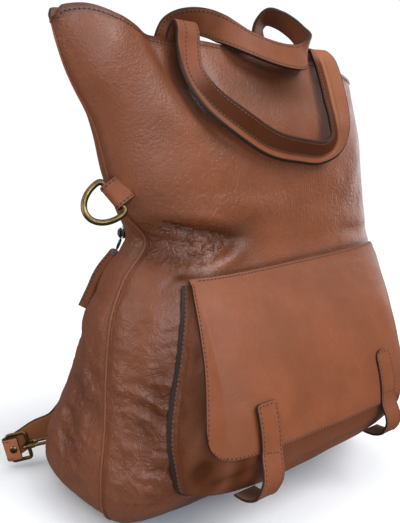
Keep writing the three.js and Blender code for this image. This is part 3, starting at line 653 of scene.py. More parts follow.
class Look:
    """Short way to write a material's nodes and links."""

    def __init__(self, name):
        self.material = bpy.data.materials.new(name)
        self.material.use_nodes = True
        self.tree = self.material.node_tree
        self.shader = self.tree.nodes["Principled BSDF"]
        self.place = self.node("ShaderNodeTexCoord").outputs["Object"]

    def put(self, socket, value):
        if isinstance(value, bpy.types.NodeSocket):
            self.tree.links.new(value, socket)
        else:
            socket.default_value = value

    def node(self, kind, inputs=None, **settings):
        made = self.tree.nodes.new(kind)
        for key, value in settings.items():
            setattr(made, key, value)
        for key, value in (inputs or {}).items():
            self.put(made.inputs[key], value)
        return made

    def finish(self, **inputs):
        for key, value in inputs.items():
            self.put(self.shader.inputs[key.replace("_", " ")], value)
        return self.material

    def math(self, operation, a, b=0.0, c=None):
        made = self.node("ShaderNodeMath", {0: a, 1: b}, operation=operation)
        if c is not None:
            self.put(made.inputs[2], c)
        return made.outputs[0]

    def mix(self, factor, a, b, blend="MIX"):
        made = self.node("ShaderNodeMix", data_type="RGBA", blend_type=blend)
        for socket, value in ((0, factor), (6, a), (7, b)):
            self.put(made.inputs[socket], value)
        return made.outputs[2]

    def range(self, value, low, high, new_low, new_high):
        inputs = {"Value": value, "From Min": low, "From Max": high, "To Min": new_low, "To Max": new_high}
        return self.node("ShaderNodeMapRange", inputs).outputs[0]

    def noise(self, scale, detail=3.0, rough=0.55, distortion=0.0, place=None):
        inputs = {"Vector": place or self.place, "Scale": scale, "Detail": detail}
        inputs.update({"Roughness": rough, "Distortion": distortion})
        return self.node("ShaderNodeTexNoise", inputs).outputs[0]

    def cells(self, scale, place):
        inputs = {"Vector": place, "Scale": scale}
        return self.node("ShaderNodeTexVoronoi", inputs, feature="SMOOTH_F1").outputs["Distance"]

    def crest(self, value):
        """1 where a noise crosses its middle, falling to 0 on both sides."""
        far = self.math("ABSOLUTE", self.math("SUBTRACT", value, 0.5))
        return self.math("SUBTRACT", 1.0, self.math("MULTIPLY", far, 4.0))

    def attribute(self, name):
        return self.node("ShaderNodeAttribute", attribute_name=name).outputs["Fac"]

    def bump(self, height, distance, normal=None):
        inputs = {"Height": height, "Distance": distance, "Strength": 1.0}
        made = self.node("ShaderNodeBump", inputs)
        if normal is not None:
            self.put(made.inputs["Normal"], normal)
        return made.outputs[0]

    def stretched(self, x, y, z):
        return self.node("ShaderNodeMapping", {"Vector": self.place, "Scale": (x, y, z)}).outputs[0]


def rgba(colour):
    return (*colour, 1.0)


def tinted(colour, share):
    return tuple(c * share for c in colour)


# Marks of the leather: how many to a metre, and depths of the marks in metres
MARKS = {"patch": 17, "gloss": 40, "crease": 95, "speck": 150, "fine": 230, "wobble": 300, "pebble": 560}
PEBBLE_DEEP = 0.00022
FINE_DEEP = 0.0001
CREASE_DEEP = 0.0011
FLOW_DEEP = 0.00016
# Lighter tint where the attribute asks for it: painted light on some straps, and a lighter seam bead
WEAR_AND_PAINTED_LIGHT_TINT = (1.5, 1.75, 1.9)


def leather(name, tone, gloss, shine, grain, wrinkle):
    """Waxed leather: mottled tone, pebbled grain, fine wrinkles where the attributes ask for them; it paints
    shade into the creases of the wrinkles and where an attribute asks for it, and paints light where another
    attribute asks for it.
    """
    look = Look(name)
    crinkle, lines, shade = (look.attribute(key) for key in ("crinkle", "lines", "shade"))
    patches = look.range(look.noise(MARKS["patch"], 4, 0.6), 0.35, 0.65, 0, 1)
    specks = look.range(look.noise(MARKS["speck"], 3), 0.3, 0.7, 0, 1)
    colour = look.mix(patches, rgba(tinted(tone, 0.84)), rgba(tinted(tone, 1.12)))
    colour = look.mix(look.math("MULTIPLY", specks, 0.35), colour, rgba(tinted(tone, 0.8)))
    creases = look.crest(look.noise(MARKS["crease"], 3, 0.55, 0.6))
    fine = look.crest(look.noise(MARKS["fine"], 3, 0.5, 0.4))
    drawn = look.stretched(1, 1, 0.22)
    waves = {"Vector": drawn, "Scale": 70, "Distortion": 11, "Detail": 3, "Detail Scale": 1.3}
    flow = look.node("ShaderNodeTexWave", waves).outputs["Fac"]
    # Painted shade: the creases of the wrinkles are darkened towards half the tone
    dark = look.math("MULTIPLY", look.math("MULTIPLY", creases, crinkle), 0.5)
    colour = look.mix(look.math("MAXIMUM", dark, 0.0), colour, rgba(tinted(tone, 0.5)))
    # Painted shade from the attribute: darker towards a third of the tone
    colour = look.mix(shade, colour, rgba(tinted(tone, 0.3)))
    # Painted light from the attribute, and a lighter seam bead: lighter towards the tint
    worn = tuple(min(1, part * tint) for part, tint in zip(tone, WEAR_AND_PAINTED_LIGHT_TINT))
    colour = look.mix(look.attribute("worn"), colour, rgba(worn))
    shaken = {"Vector": look.place, "Scale": MARKS["wobble"]}
    wobble = look.node("ShaderNodeTexNoise", shaken).outputs["Color"]
    pebbles = look.cells(MARKS["pebble"], look.mix(0.0006, look.place, wobble, "ADD"))
    height = look.bump(pebbles, PEBBLE_DEEP * grain)
    height = look.bump(fine, -FINE_DEEP * wrinkle, height)
    height = look.bump(look.math("MULTIPLY", creases, crinkle), -CREASE_DEEP, height)
    height = look.bump(look.math("MULTIPLY", flow, lines), FLOW_DEEP, height)
    mottled = look.range(look.noise(MARKS["gloss"], 4), 0.3, 0.7, gloss - 0.05, gloss + 0.08)
    rough = look.math("ADD", mottled, look.math("MULTIPLY", pebbles, 0.1))
    rough = look.math("MULTIPLY_ADD", crinkle, -0.1, rough)
    # Less sheen where painted shade is
    shine = look.range(shade, 0.35, 0.9, shine, 0.15 * shine)
    return look.finish(Base_Color=colour, Roughness=rough, Specular_IOR_Level=shine, Normal=height)


def raw_edge():
    look = Look("painted_edge")
    colour = look.mix(look.noise(300, 3), rgba((0.012, 0.006, 0.004)), rgba((0.04, 0.016, 0.01)))
    height = look.bump(look.noise(700, 2), 0.0002)
    return look.finish(Base_Color=colour, Roughness=0.6, Specular_IOR_Level=0.25, Normal=height)


def flesh_side():
    look = Look("flesh_side")
    colour = look.mix(look.noise(60, 5, 0.65), rgba((0.1, 0.045, 0.025)), rgba((0.19, 0.09, 0.05)))
    return look.finish(Base_Color=colour, Roughness=0.9, Normal=look.bump(look.noise(900, 4, 0.7), 0.0003))


def thread():
    look = Look("thread")
    colour = look.mix(look.noise(800, 2), rgba((0.1, 0.04, 0.02)), rgba((0.17, 0.075, 0.04)))
    twist = look.node("ShaderNodeTexWave", {"Vector": look.place, "Scale": 700}, bands_direction="DIAGONAL")
    return look.finish(Base_Color=colour, Roughness=0.6, Normal=look.bump(twist.outputs["Fac"], 0.0001))


def needle_hole():
    look = Look("needle_hole")
    colour = look.mix(look.noise(500, 2), rgba((0.012, 0.005, 0.003)), rgba((0.03, 0.012, 0.008)))
    return look.finish(Base_Color=colour, Roughness=0.8)


def metal(name, bright, dull, rough):
    look = Look(name)
    stain = look.range(look.noise(120, 5, 0.65), 0.42, 0.66, 0, 1)
    colour = look.mix(stain, rgba(bright), rgba(dull))
    scratch = look.noise(350, 4, 0.6, place=look.stretched(1, 1, 6))
    dullness = look.range(stain, 0, 1, rough, rough + 0.18)
    height = look.bump(scratch, 0.00008)
    return look.finish(Base_Color=colour, Metallic=1.0, Roughness=dullness, Normal=height)


def woven_tape():
    look = Look("woven_tape")
    waves = {"Vector": look.place, "Scale": 320, "Distortion": 0.4}
    weave = look.node("ShaderNodeTexWave", waves, bands_direction="DIAGONAL").outputs["Fac"]
    colour = look.mix(weave, rgba((0.03, 0.016, 0.011)), rgba((0.075, 0.042, 0.03)))
    return look.finish(Base_Color=colour, Roughness=0.85, Normal=look.bump(weave, 0.0003))


TONE = (0.208, 0.058, 0.0205)
STRAP_TONE = (0.208, 0.058, 0.021)
LEATHER = leather("grained_leather", TONE, 0.4, 0.45, 1.0, 1.0)
SMOOTH_LEATHER = leather("smooth_leather", TONE, 0.5, 0.26, 0.55, 0.5)
STRAP_LEATHER = leather("strap_leather", STRAP_TONE, 0.5, 0.22, 0.5, 0.5)
EDGE = raw_edge()
FLESH = flesh_side()
THREAD = thread()
HOLE = needle_hole()
BRASS = metal("antique_brass", (0.24, 0.155, 0.062), (0.07, 0.042, 0.018), 0.27)
GUNMETAL = metal("gunmetal", (0.16, 0.16, 0.165), (0.05, 0.047, 0.045), 0.24)
TAPE = woven_tape()

# Materials of a sheet or strap: its face, its raw edge and its back
PANEL_SKIN = [LEATHER, EDGE, FLESH]
POCKET_SKIN = [SMOOTH_LEATHER, EDGE, FLESH]
STRAP_SKIN = [STRAP_LEATHER, EDGE, FLESH]
DOUBLE_SKIN = [STRAP_LEATHER, EDGE, STRAP_LEATHER]


# Bag panels

PANEL_COLUMNS = 200
PANEL_STEP = 2.1
FLOOR_ROWS = 14
SEAM_STATIONS = 260
HEM = 5.0

# Sharper creases and a swelling under the zip pull: place, direction, half length, half width and depth
CREASES = rows_of(
    "side x y z tx ty tz long wide deep",
    (-1, -88, -31, 268, 1, -0.4, -0.18, 40, 3, 5.5),
    (-1, -80, -36, 277, 1, -0.4, -0.15, 46, 6, -2.5),
    (-1, -78, -36, 246, 1, -0.26, 0.5, 26, 3, 3.5),
    (-1, -72, -39, 237, 1, -0.26, 0.5, 24, 6, -3),
    (-1, -98, -27, 257, 1, -0.4, -0.1, 20, 3, 2.5),
    (-1, -66, -38, 259, 1, -0.3, 0.1, 16, 3, 2),
    (-1, -112, -16, 240, 1, -0.8, -0.25, 14, 4, 2),
    (-1, -118, -34, 232, 1, -0.5, 0.75, 22, 3.5, 2.2),
    (-1, -122, -36, 222, 1, -0.5, 0.4, 20, 3.5, 1.8),
    (-1, -112, -12, 402, 0.42, -0.2, -1, 62, 8, 5),
    (-1, -86, -24, 400, 0.3, -0.2, -1, 50, 12, 5),
    (-1, -158, -40, 78, 0.5, 0.1, -1, 28, 6, 3),
    (-1, -150, -42, 40, 1, 0.1, 0.5, 26, 6, 2.5),
    (1, -172, 40, 62, -0.1, 1, 0.45, 36, 7, 4),
    (1, -170, 70, 92, 0, 1, 0.6, 34, 6, 4),
    (1, -176, 48, 34, 0, 1, -0.5, 30, 7, 4),
    (1, -160, 50, 150, 0, 1, 0.35, 30, 5, 3),
    (1, -145, 46, 205, 0.3, 1, 0.2, 24, 5, 2.5),
    (1, -60, 60, 290, 1, 0.1, 0.1, 50, 4, 2),
    (1, 80, 58, 268, 1, -0.1, -0.15, 60, 4, 2),
    (1, 150, 60, 120, -0.2, 1, 0.2, 40, 8, 4),
    (1, 140, 110, 70, -0.6, 1, 0.4, 40, 8, 4),
    (1, -126, 60, 224, 0, 1, -0.4, 30, 20, -5),
)

# Crumpled patches low on the left: place and half width
CRUMPLES = rows_of(
    "side x y z wide",
    (-1, -148, -40, 118, 30),
    (-1, -150, -42, 66, 26),
    (1, -166, 45, 130, 28),
    (1, -174, 55, 72, 28),
)
CRUMPLE_SHARE = 0.9

# Wedge of crumpled leather at the left of the waist: height of its edges at a place and their slopes
WEDGE = {"top": 275, "top_x": -128, "fall": -0.19, "low": 235, "low_x": -100, "inner": 0.5, "outer": -0.25}

# Share of darkening in the panels: a darker band along the hem, and painted shade beside the seams, in the
# waist and crumples and in the hollows of the folds; painted shade in covered places of the front, and in two
# hollows of the front
DARK = {"hem": 0.6, "seam": 0.3, "waist": 0.22, "crumple": 0.22, "fold": 0.04, "deepest": 0.35}
# Painted shade of the front: beside the pocket's flange, above the flap, between the handles and under the
# pocket
FRONT_PAINTED_SHADE = {"flange": 0.35, "flap": 0.6, "handles": 0.85, "pocket": 0.55}
# Painted shade in two hollows: under the waist and at the right end of its ridge
HOLLOWS = rows_of("x y z wide dark", (-112, -18, 238, 26, 0.5), (-50, -40, 253, 20, 0.5))


def panel_stations():
    """Rows of a panel from the middle of the base to the rim: share of width, share of depth, height."""
    floor = [(0.9 + 0.1 * s, s, 0.0) for s in np.linspace(0, 1, FLOOR_ROWS, endpoint=False)]
    count = int(RIM / PANEL_STEP)
    return floor + [(1.0, 1.0, z) for z in np.linspace(0, RIM, count + 1)]


def panel_grid(side):
    u = -np.cos(np.linspace(0, math.pi, 900))
    rise = ease(RIM_RISE, "rise", u)
    rows = []
    for half, depth, z in panel_stations():
        wide = np.where(u < 0, ease(BODY, "left", z), ease(BODY, "right", z))
        swell = bulge(u, ease(BODY, "square", z), ease(BODY, "round", z))
        deep = ease(BODY, "front" if side < 0 else "back", z) * depth
        lift = max(0.0, (z - SLEEVE) / (RIM - SLEEVE)) * rise
        y = ease(BODY, "seam", z) + side * (SEAM + deep * swell)
        rows.append(even_steps(np.stack([u * wide * half, y, z + lift], 1), PANEL_COLUMNS + 1))
    grid = np.array(rows)
    return grid[:, ::-1] if side < 0 else grid


def seam_distance(grid):
    """Distance of each point from the nearer side seam, along its row."""
    steps = np.linalg.norm(np.diff(grid, axis=1), axis=2)
    run = np.concatenate([np.zeros((len(grid), 1)), np.cumsum(steps, 1)], 1)
    return np.minimum(run, run[:, -1:] - run)


def near(grid, spot):
    """1 at a spot, falling to 0 around it."""
    at = np.array([spot["x"], spot["y"], spot["z"]], float)
    return np.exp(-((grid - at) ** 2).sum(-1) / spot["wide"] ** 2)


def panel_marks(side, grid):
    """How wrinkled a panel is at each point: waist, lower left, flowing lines."""
    x, z = grid[..., 0], grid[..., 2]
    if side < 0:
        upper = WEDGE["top"] + WEDGE["fall"] * (x - WEDGE["top_x"])
        slope = np.where(x > WEDGE["low_x"], WEDGE["inner"], WEDGE["outer"])
        lower = WEDGE["low"] + slope * (x - WEDGE["low_x"])
        waist = smooth(lower - 10, lower + 8, z) * smooth(upper + 5, upper - 5, z) * smooth(-25, -75, x)
        low = 0.35 * smooth(-60, -130, x) * smooth(240, 205, z)
        lines = bump_at(z, 288, 36) * bump_at(x, 0, 75)
    else:
        waist = 0.5 * bump_at(z, 258, 15) * (0.3 + 0.7 * smooth(0, -90, x))
        low = 0.3 * smooth(240, 190, z) * (0.4 + 0.6 * smooth(-60, -130, x))
        lines = 0.5 * bump_at(z, 300, 40)
    for patch in CRUMPLES:
        if patch["side"] == side:
            low = low + CRUMPLE_SHARE * near(grid, patch)
    return waist, low, lines


def panel_relief(side, grid, marks):
    """How far each point of a panel stands out from the smooth form."""
    waist, low, _ = marks
    z = grid[..., 2]
    out = -fold_depth(body_folds(side), grid)
    out -= fold_depth([c for c in CREASES if c["side"] == side], grid)
    out += 1.1 * ripple(grid, 48, 3.1) * smooth(8, 40, z)
    out += 0.4 * ripple(grid, 19, 7.7) * smooth(8, 40, z)
    out += waist * (1.0 * ridges(grid, (26, 26, 10), 1.3) + 0.5 * ridges(grid, (10, 10, 5), 5.9))
    out += low * (1.5 * ridges(grid, (30, 30, 17), 9.2) + 0.75 * ridges(grid, (12, 12, 8), 2.2))
    out += low * 0.3 * ridges(grid, 5, 6.4)
    return out


def panel_hem_and_painted_shade(side, face, out, marks, from_seam, rows_down):
    """Painted shade of each point of a panel, which darkens and dulls it: a darker band along the hem, and
    painted shade beside the seam, in the hollows of the folds and in covered places.
    """
    waist, low, _ = marks
    # A darker band along the hem, and painted shade beside the seam ridge
    shade = DARK["hem"] * smooth(HEM, HEM - 3, rows_down) + DARK["seam"] * bump_at(from_seam, 3.2, 1.6)
    # Painted shade in the crumpled waist
    shade = shade + DARK["waist"] * waist
    # Painted shade in the crumples and in the hollows of the folds
    shade = shade + DARK["crumple"] * np.minimum(low, 1) + np.clip(-DARK["fold"] * out, 0, DARK["deepest"])
    if side > 0:
        return shade
    x, z = face[..., 0], face[..., 2]
    # Painted shade beside the pocket's flange
    beside = bump_at(x + ease(POCKET, "left", np.minimum(z, POCKET_TOP)), -4, 12)
    shade = shade + FRONT_PAINTED_SHADE["flange"] * beside * smooth(235, 210, z) * smooth(30, 60, z)
    # Painted shadow in the groove above the flap's top edge
    above = z - FLAP_TOP_LEFT - (FLAP_TOP_RIGHT - FLAP_TOP_LEFT) * smooth(-115, 178, x)
    shade = shade + FRONT_PAINTED_SHADE["flap"] * bump_at(above, 0.5, 3.5) * smooth(-125, -112, x)
    # Painted shadow of the back handle between the handles
    shade = shade + FRONT_PAINTED_SHADE["handles"] * bump_at(z, 399, 22) * bump_at(x, 14, 58)
    # Painted shade in the two hollows of the waist
    for hollow in HOLLOWS:
        shade = shade + hollow["dark"] * near(face, hollow)
    # Painted shade under the pocket, then the total
    return np.minimum(1, shade + FRONT_PAINTED_SHADE["pocket"] * smooth(52, 32, z) * smooth(-132, -108, x))


def panel(side):
    name = "front" if side < 0 else "back"
    grid = panel_grid(side)
    height = grid[..., 2]
    from_seam = seam_distance(grid)
    off_floor = smooth(3, 26, height)
    rows_down = (np.arange(len(grid))[::-1] * PANEL_STEP)[:, None]
    marks = panel_marks(side, grid)
    out = panel_relief(side, grid, marks) * (smooth(0, 14, from_seam) * off_floor)
    out += 0.8 * smooth(HEM + 1.5, HEM - 0.5, rows_down) * smooth(0, 6, from_seam)
    out -= 0.5 * bump_at(from_seam, 3.5, 2.5) * off_floor
    face = grid + grid_normals(grid) * out[..., None]
    face[..., 2] = np.maximum(face[..., 2], 0)
    inward = grid_normals(face)
    inward[:, [0, -1], 1] = 0
    inward[0, :, 1] = 0
    inward = unit(inward)
    waist, low, lines = marks
    crinkle = 0.16 + 0.9 * waist + 0.6 * low + 0.2 * bump_at(height, 285, 30)
    shade = panel_hem_and_painted_shade(side, face, out, marks, from_seam, rows_down)
    values = {"crinkle": crinkle, "lines": lines, "shade": shade}
    values = {key: np.tile(np.broadcast_to(v, crinkle.shape).ravel(), 2) for key, v in values.items()}
    body = closed_sheet(face, face - inward * WALL)
    build(f"{name}_leather", *body, PANEL_SKIN, "leather", "bag", [f"{name}_panel"], values)
    hem, along = len(face) - 3, slice(2, -2)
    sew(f"{name}_rim_sewing", [(face[hem, along] + THREAD_LIFT * inward[hem, along], inward[hem, along])])
    return face


def side_seam(name, front, back):
    """Turned seam that stands a little proud between the panels."""
    line = (front + back) / 2
    line = even_steps(line[line[:, 2] > 0.2], SEAM_STATIONS)
    away = unit(np.stack([np.sign(line[:, 0]), np.zeros(len(line)), np.zeros(len(line))], 1))
    run = unit(np.gradient(line, axis=0))
    out = unit(away - (away * run).sum(1, keepdims=True) * run)
    side = np.cross(run, out)
    turn = np.linspace(0, 2 * math.pi, 10, endpoint=False)
    ring = np.cos(turn)[None, :, None] * side[:, None] * 0.8
    ring = ring + np.sin(turn)[None, :, None] * out[:, None] * 1.2
    station = np.arange(float(SEAM_STATIONS))
    size = 0.35 + 0.65 * smooth(0, 8, station) * smooth(SEAM_STATIONS - 1, SEAM_STATIONS - 9, station)
    body = plain(*sweep((line + out * 0.5)[:, None] + ring * size[:, None, None]))
    worn = np.full(len(body[0]), 0.1)
    build(name, *body, [LEATHER], "leather", values={"worn": worn, "crinkle": worn})


def make_body():
    front, back = panel(-1), panel(1)
    start = FLOOR_ROWS
    side_seam("left_side_seam", front[start:, -1], back[start:, 0])
    side_seam("right_side_seam", front[start:, 0], back[start:, -1])
    return front, back


# Bellows pocket

POCKET_COLUMNS = 190
POCKET_STEP = 2.0
POCKET_FOLDS = rows_of(
    "x y z tx ty tz long wide deep",
    (-146, -82, 150, 0.25, -0.35, -1, 46, 7, 7),
    (-140, -92, 120, 0.1, 0.6, -1, 40, 6, -3.5),
    (-142, -96, 86, 0.2, 0.9, -0.7, 30, 7, 8),
    (-146, -84, 66, 0.3, -1, 0.35, 26, 5, -3.5),
    (-140, -86, 56, 0.6, -1, 0.6, 24, 2.6, 3.5),
    (-120, -100, 66, 1, -0.3, 0.3, 30, 8, 5),
    (-128, -70, 190, 0.2, 0.2, -1, 40, 5, 3),
    (20, -106, 62, 1, 0, 0.06, 60, 9, 2),
    (120, -96, 64, 1, 0.2, -0.1, 40, 8, 2.5),
)

# Painted shade of the pocket's covered and folded places: its share of darkening
POCKET_PAINTED_SHADE = {"flange": 0.55, "gusset": 0.6, "fold": 0.12, "front": 0.18, "flap": 0.4, "hollow": 0.85}
RAW_FLANGE = 2.4


def pocket_grid():
    u = np.cos(np.linspace(0, math.pi, 700))
    fast = np.linspace(0, 1, 12) ** 1.6 * 8 + POCKET_LOW
    heights = np.concatenate([fast[:-1], np.arange(fast[-1], POCKET_TOP + 0.1, POCKET_STEP)])
    rows = []
    for z in heights:
        left, right = ease(POCKET, "left", z), ease(POCKET, "right", z)
        x = np.where(u < 0, u * left, u * right)
        left_swell = bulge(x / (left - FLANGE), 6, 2.6)
        right_swell = bulge(x / right, 3, 2.2)
        depth = ease(POCKET, "depth", z)
        hung = z + pocket_sag(x, z)
        y = body_y(-1, x, hung) - SEAT - WALL * 1.1 - depth * np.where(u < 0, left_swell, right_swell)
        rows.append(even_steps(np.stack([x, y, hung], 1), POCKET_COLUMNS + 1))
    return np.array(rows)


def pocket_painted_shade(x, z, from_edge, gusset, out):
    """Painted shade of each point of the pocket, which darkens and dulls it: by the flange, in the gusset and
    its folds, under the flap and in a hollow beside the left closure.
    """
    flange = bump_at(from_edge, FLANGE + 0.5, 1.6) * smooth(POCKET_LOW, POCKET_LOW + 8, z)
    folded = np.clip(POCKET_PAINTED_SHADE["gusset"] - POCKET_PAINTED_SHADE["fold"] * out, 0.1, 1)
    front = smooth(-128, -116, x)
    # Painted shade: a line along the flange, the gusset darker in its fold hollows, the front under the flap,
    # a hollow beside the left closure
    terms = [
        POCKET_PAINTED_SHADE["flange"] * flange,
        gusset * smooth(FLANGE, FLANGE + 4, from_edge) * folded,
        POCKET_PAINTED_SHADE["front"] * front + POCKET_PAINTED_SHADE["flap"] * (smooth(60, 92, z) * front),
        POCKET_PAINTED_SHADE["hollow"] * bump_at(x, -110, 11) * smooth(40, 60, z),
    ]
    return np.maximum.reduce(terms)


def make_pocket():
    grid = pocket_grid()
    x, z = grid[..., 0], grid[..., 2]
    from_edge = seam_distance(grid)
    fade = smooth(FLANGE, FLANGE + 8, from_edge) * smooth(POCKET_LOW + 1, POCKET_LOW + 10, z)
    gusset = smooth(-112, -130, x)
    out = -fold_depth(POCKET_FOLDS, grid) + 1.2 * ripple(grid, 36, 4.4) + gusset * 1.3 * ripple(grid, 17, 8.8)
    face = grid + grid_normals(grid) * (out * fade)[..., None]
    inward = grid_normals(face)
    under = face - inward * WALL
    behind = body_y(-1, under[..., 0], under[..., 2]) - 0.2
    under[..., 1] = np.minimum(under[..., 1], behind)
    points, faces, kinds = closed_sheet(face, under)
    raw = ((x < 0) & (from_edge < RAW_FLANGE))[:-1, 1:].ravel()
    kinds[: len(raw)][raw] = 1
    crinkle = 0.1 + 0.25 * gusset + 0.3 * bump_at(from_edge, FLANGE, 5)
    shade = pocket_painted_shade(x, z, from_edge, gusset, out)
    values = {"crinkle": np.tile(crinkle.ravel(), 2), "shade": np.tile(shade.ravel(), 2)}
    build("pocket_leather", points, faces, kinds, POCKET_SKIN, "leather", "bag", ["pocket_body"], values)
    edges = [(slice(6, None), column) for column in (-3, 2)]
    sew("pocket_sewing", [(face[at] + inward[at] * THREAD_LIFT, inward[at]) for at in edges])


# Flap

FLAP_COLUMNS = 150
FLAP_ROWS = 80
FLAP_FOLDS = rows_of(
    "x y z tx ty tz long wide deep",
    (-95, -108, 150, 0.4, 0, 1, 40, 22, 2),
    (-60, -108, 120, 1, 0, 0.5, 30, 16, -1.6),
    (-108, -106, 128, 1, 0, 0.2, 24, 10, -1.4),
    (60, -100, 200, 1, 0, -0.1, 70, 18, 1.5),
    (130, -88, 170, 0.1, 0, 1, 60, 22, -2),
    (0, -106, 180, 1, 0, 0.15, 80, 14, -1.2),
)


def flap_edges(z):
    """Left and right edges of the flap and the place from which it stands free of the pocket."""
    beside = np.minimum(z, POCKET_TOP)
    down = np.minimum(1, (POCKET_TOP - beside) / FLAP_SPREAD)
    pocket_left = ease(POCKET, "left", beside)
    left = FLAP_INSET - pocket_left - FLAP_OVERHANG * down
    right = ease(POCKET, "right", beside) - FLAP_INSET_RIGHT
    return left, right, FLAP_FREE_TOP + (FLAP_FREE - FLAP_FREE_TOP) * down - pocket_left


def flap_grid():
    """Outer face of the flap, rows from its lower edge up and columns from right to left."""
    across = np.linspace(1, 0, FLAP_COLUMNS + 1)
    low_left, low_right, _ = flap_edges(FLAP_LOW)
    guess = low_left + (low_right - low_left) * across
    radius = np.where(guess < 0, FLAP_ROUND, FLAP_ROUND_RIGHT)
    corner = np.maximum(0, radius - np.minimum(guess - low_left, low_right - guess))
    low = FLAP_LOW + radius - np.sqrt(np.maximum(0, radius**2 - corner**2))
    top = FLAP_TOP_LEFT + (FLAP_TOP_RIGHT - FLAP_TOP_LEFT) * across
    corner = np.maximum(0, FLAP_TOP_ROUND - (low_right - guess))
    top -= FLAP_TOP_ROUND - np.sqrt(np.maximum(0, FLAP_TOP_ROUND**2 - corner**2))
    rows = []
    for up in np.linspace(0, 1, FLAP_ROWS + 1):
        z = low + (top - low) * up
        left, right, rest = flap_edges(z)
        x = left + (right - left) * across
        y = flap_seat(np.maximum(x, rest), z) - FLAP_OFF - WALL
        rows.append(np.stack([x, y, z], 1))
    return np.array(rows)


def make_flap():
    grid = flap_grid()
    z = grid[..., 2]
    out = -fold_depth(FLAP_FOLDS, grid) + 0.9 * ripple(grid, 60, 2.6) + 0.3 * ripple(grid, 20, 6.1)
    face = grid + grid_normals(grid) * (np.maximum(out, -0.8) * smooth(232, 210, z))[..., None]
    inward = grid_normals(face)
    body = closed_sheet(face, face - inward * WALL)
    crinkle = {"crinkle": np.tile((0.06 + 0.12 * bump_at(z, 228, 14)).ravel(), 2)}
    build("flap_leather", *body, POCKET_SKIN, "leather", "bag", ["pocket_flap"], crinkle)
    across, down = slice(3, -3), slice(2, -2)
    edges = [((1, across), 0.4), ((-2, across), 0.0), ((down, -2), 0.0), ((down, 1), 0.0)]
    lines = [(inset(face[at], inward[at], d) + inward[at] * THREAD_LIFT, inward[at]) for at, d in edges]
    sew("flap_sewing", lines)


# Closure straps

CLOSURE_STEP = 1.2
CLOSURE_SEWN = 42.0


def rounded_end(path, wide, corner):
    """Width share of each station so that the strap's first end has round corners."""
    short = np.maximum(0, corner - run_along(path[0]))
    half = wide / 2 - corner + np.sqrt(np.maximum(0.02, corner**2 - short**2))
    return half / (wide / 2)


def closure_rows(closure):
    """Route of a closure strap: sewn down the flap, then a free loop that curls under the pocket."""
    x = np.array(float(closure["x"]))
    heights = np.linspace(closure["top"], FLAP_LOW + 1, 4)
    faces = flap_seat(np.full(4, x), heights) - FLAP_OFF - WALL * 1.6 - SEAT - 0.4
    rows = list(zip(faces, heights))
    for row in LOOP:
        out = row["out"] if row["out"] > 0 else row["out"] * closure["curl"]
        rows.append((faces[-1] - out, row["z"] + closure["lift"] * (FLAP_LOW - row["z"]) / 40))
    across = {"wx": 1, "wy": 0, "wz": 0}
    return [{"x": x - closure["lean"] * max(0, FLAP_LOW - z), "y": y, "z": z, **across} for y, z in rows]


def make_closures():
    lift = WALL * 0.6
    edge = CLOSURE_WIDE / 2 - STITCH_INSET
    for closure in CLOSURES:
        name = closure["name"]
        path = even_route(route(closure_rows(closure), SHORT_ROUTE), CLOSURE_STEP)
        width = rounded_end(path, CLOSURE_WIDE, closure["round"])
        body = strap_body(path, CLOSURE_WIDE, WALL * 1.15, width)
        build(f"closure_{name}_leather", *body, STRAP_SKIN, "strap_leather", "bag", [f"closure_strap_{name}"])
        lines = [strap_line(path, s * edge, lift, 3, -4, width) for s in (-1, 1)]
        middle, _, across, out = path
        for at in (2, int(CLOSURE_SEWN / CLOSURE_STEP)):
            share = np.linspace(-edge, edge, 12)[:, None] * width[at]
            lines.append((middle[at] + across[at] * share + out[at] * lift, np.repeat(out[at][None], 12, 0)))
        sew(f"closure_{name}_sewing", lines)


# Handles

LIP_START = -4.5
LIP_START_RIGHT = 4.0
LIP_RADIUS = 5.0
LIP_BEND = 1.25
HANDLE_STEP = 1.8
HANDLE_FACETS = 25
# Painted shade in the hollow of the front handle's curled band, and painted light on its right arm
HOLLOW_PAINTED_SHADE = 0.9
ARM_PAINTED_LIGHT = 0.95


def lip_shape(start, bend):
    """Curls the outer edge of a handle outward: where the curl starts and its angle, at each station."""

    def shape(w, h):
        past = np.maximum(0, start[:, None] - w)
        angle = np.minimum(past / LIP_RADIUS, 1) * bend[:, None]
        reach = np.where(angle > 1e-6, past / np.maximum(angle, 1e-6), 0)
        bent_w = np.where(angle > 1e-6, start[:, None] - (reach - h) * np.sin(angle), w)
        bent_h = np.where(angle > 1e-6, h * np.cos(angle) + reach * (1 - np.cos(angle)), h)
        return bent_w, bent_h

    return shape


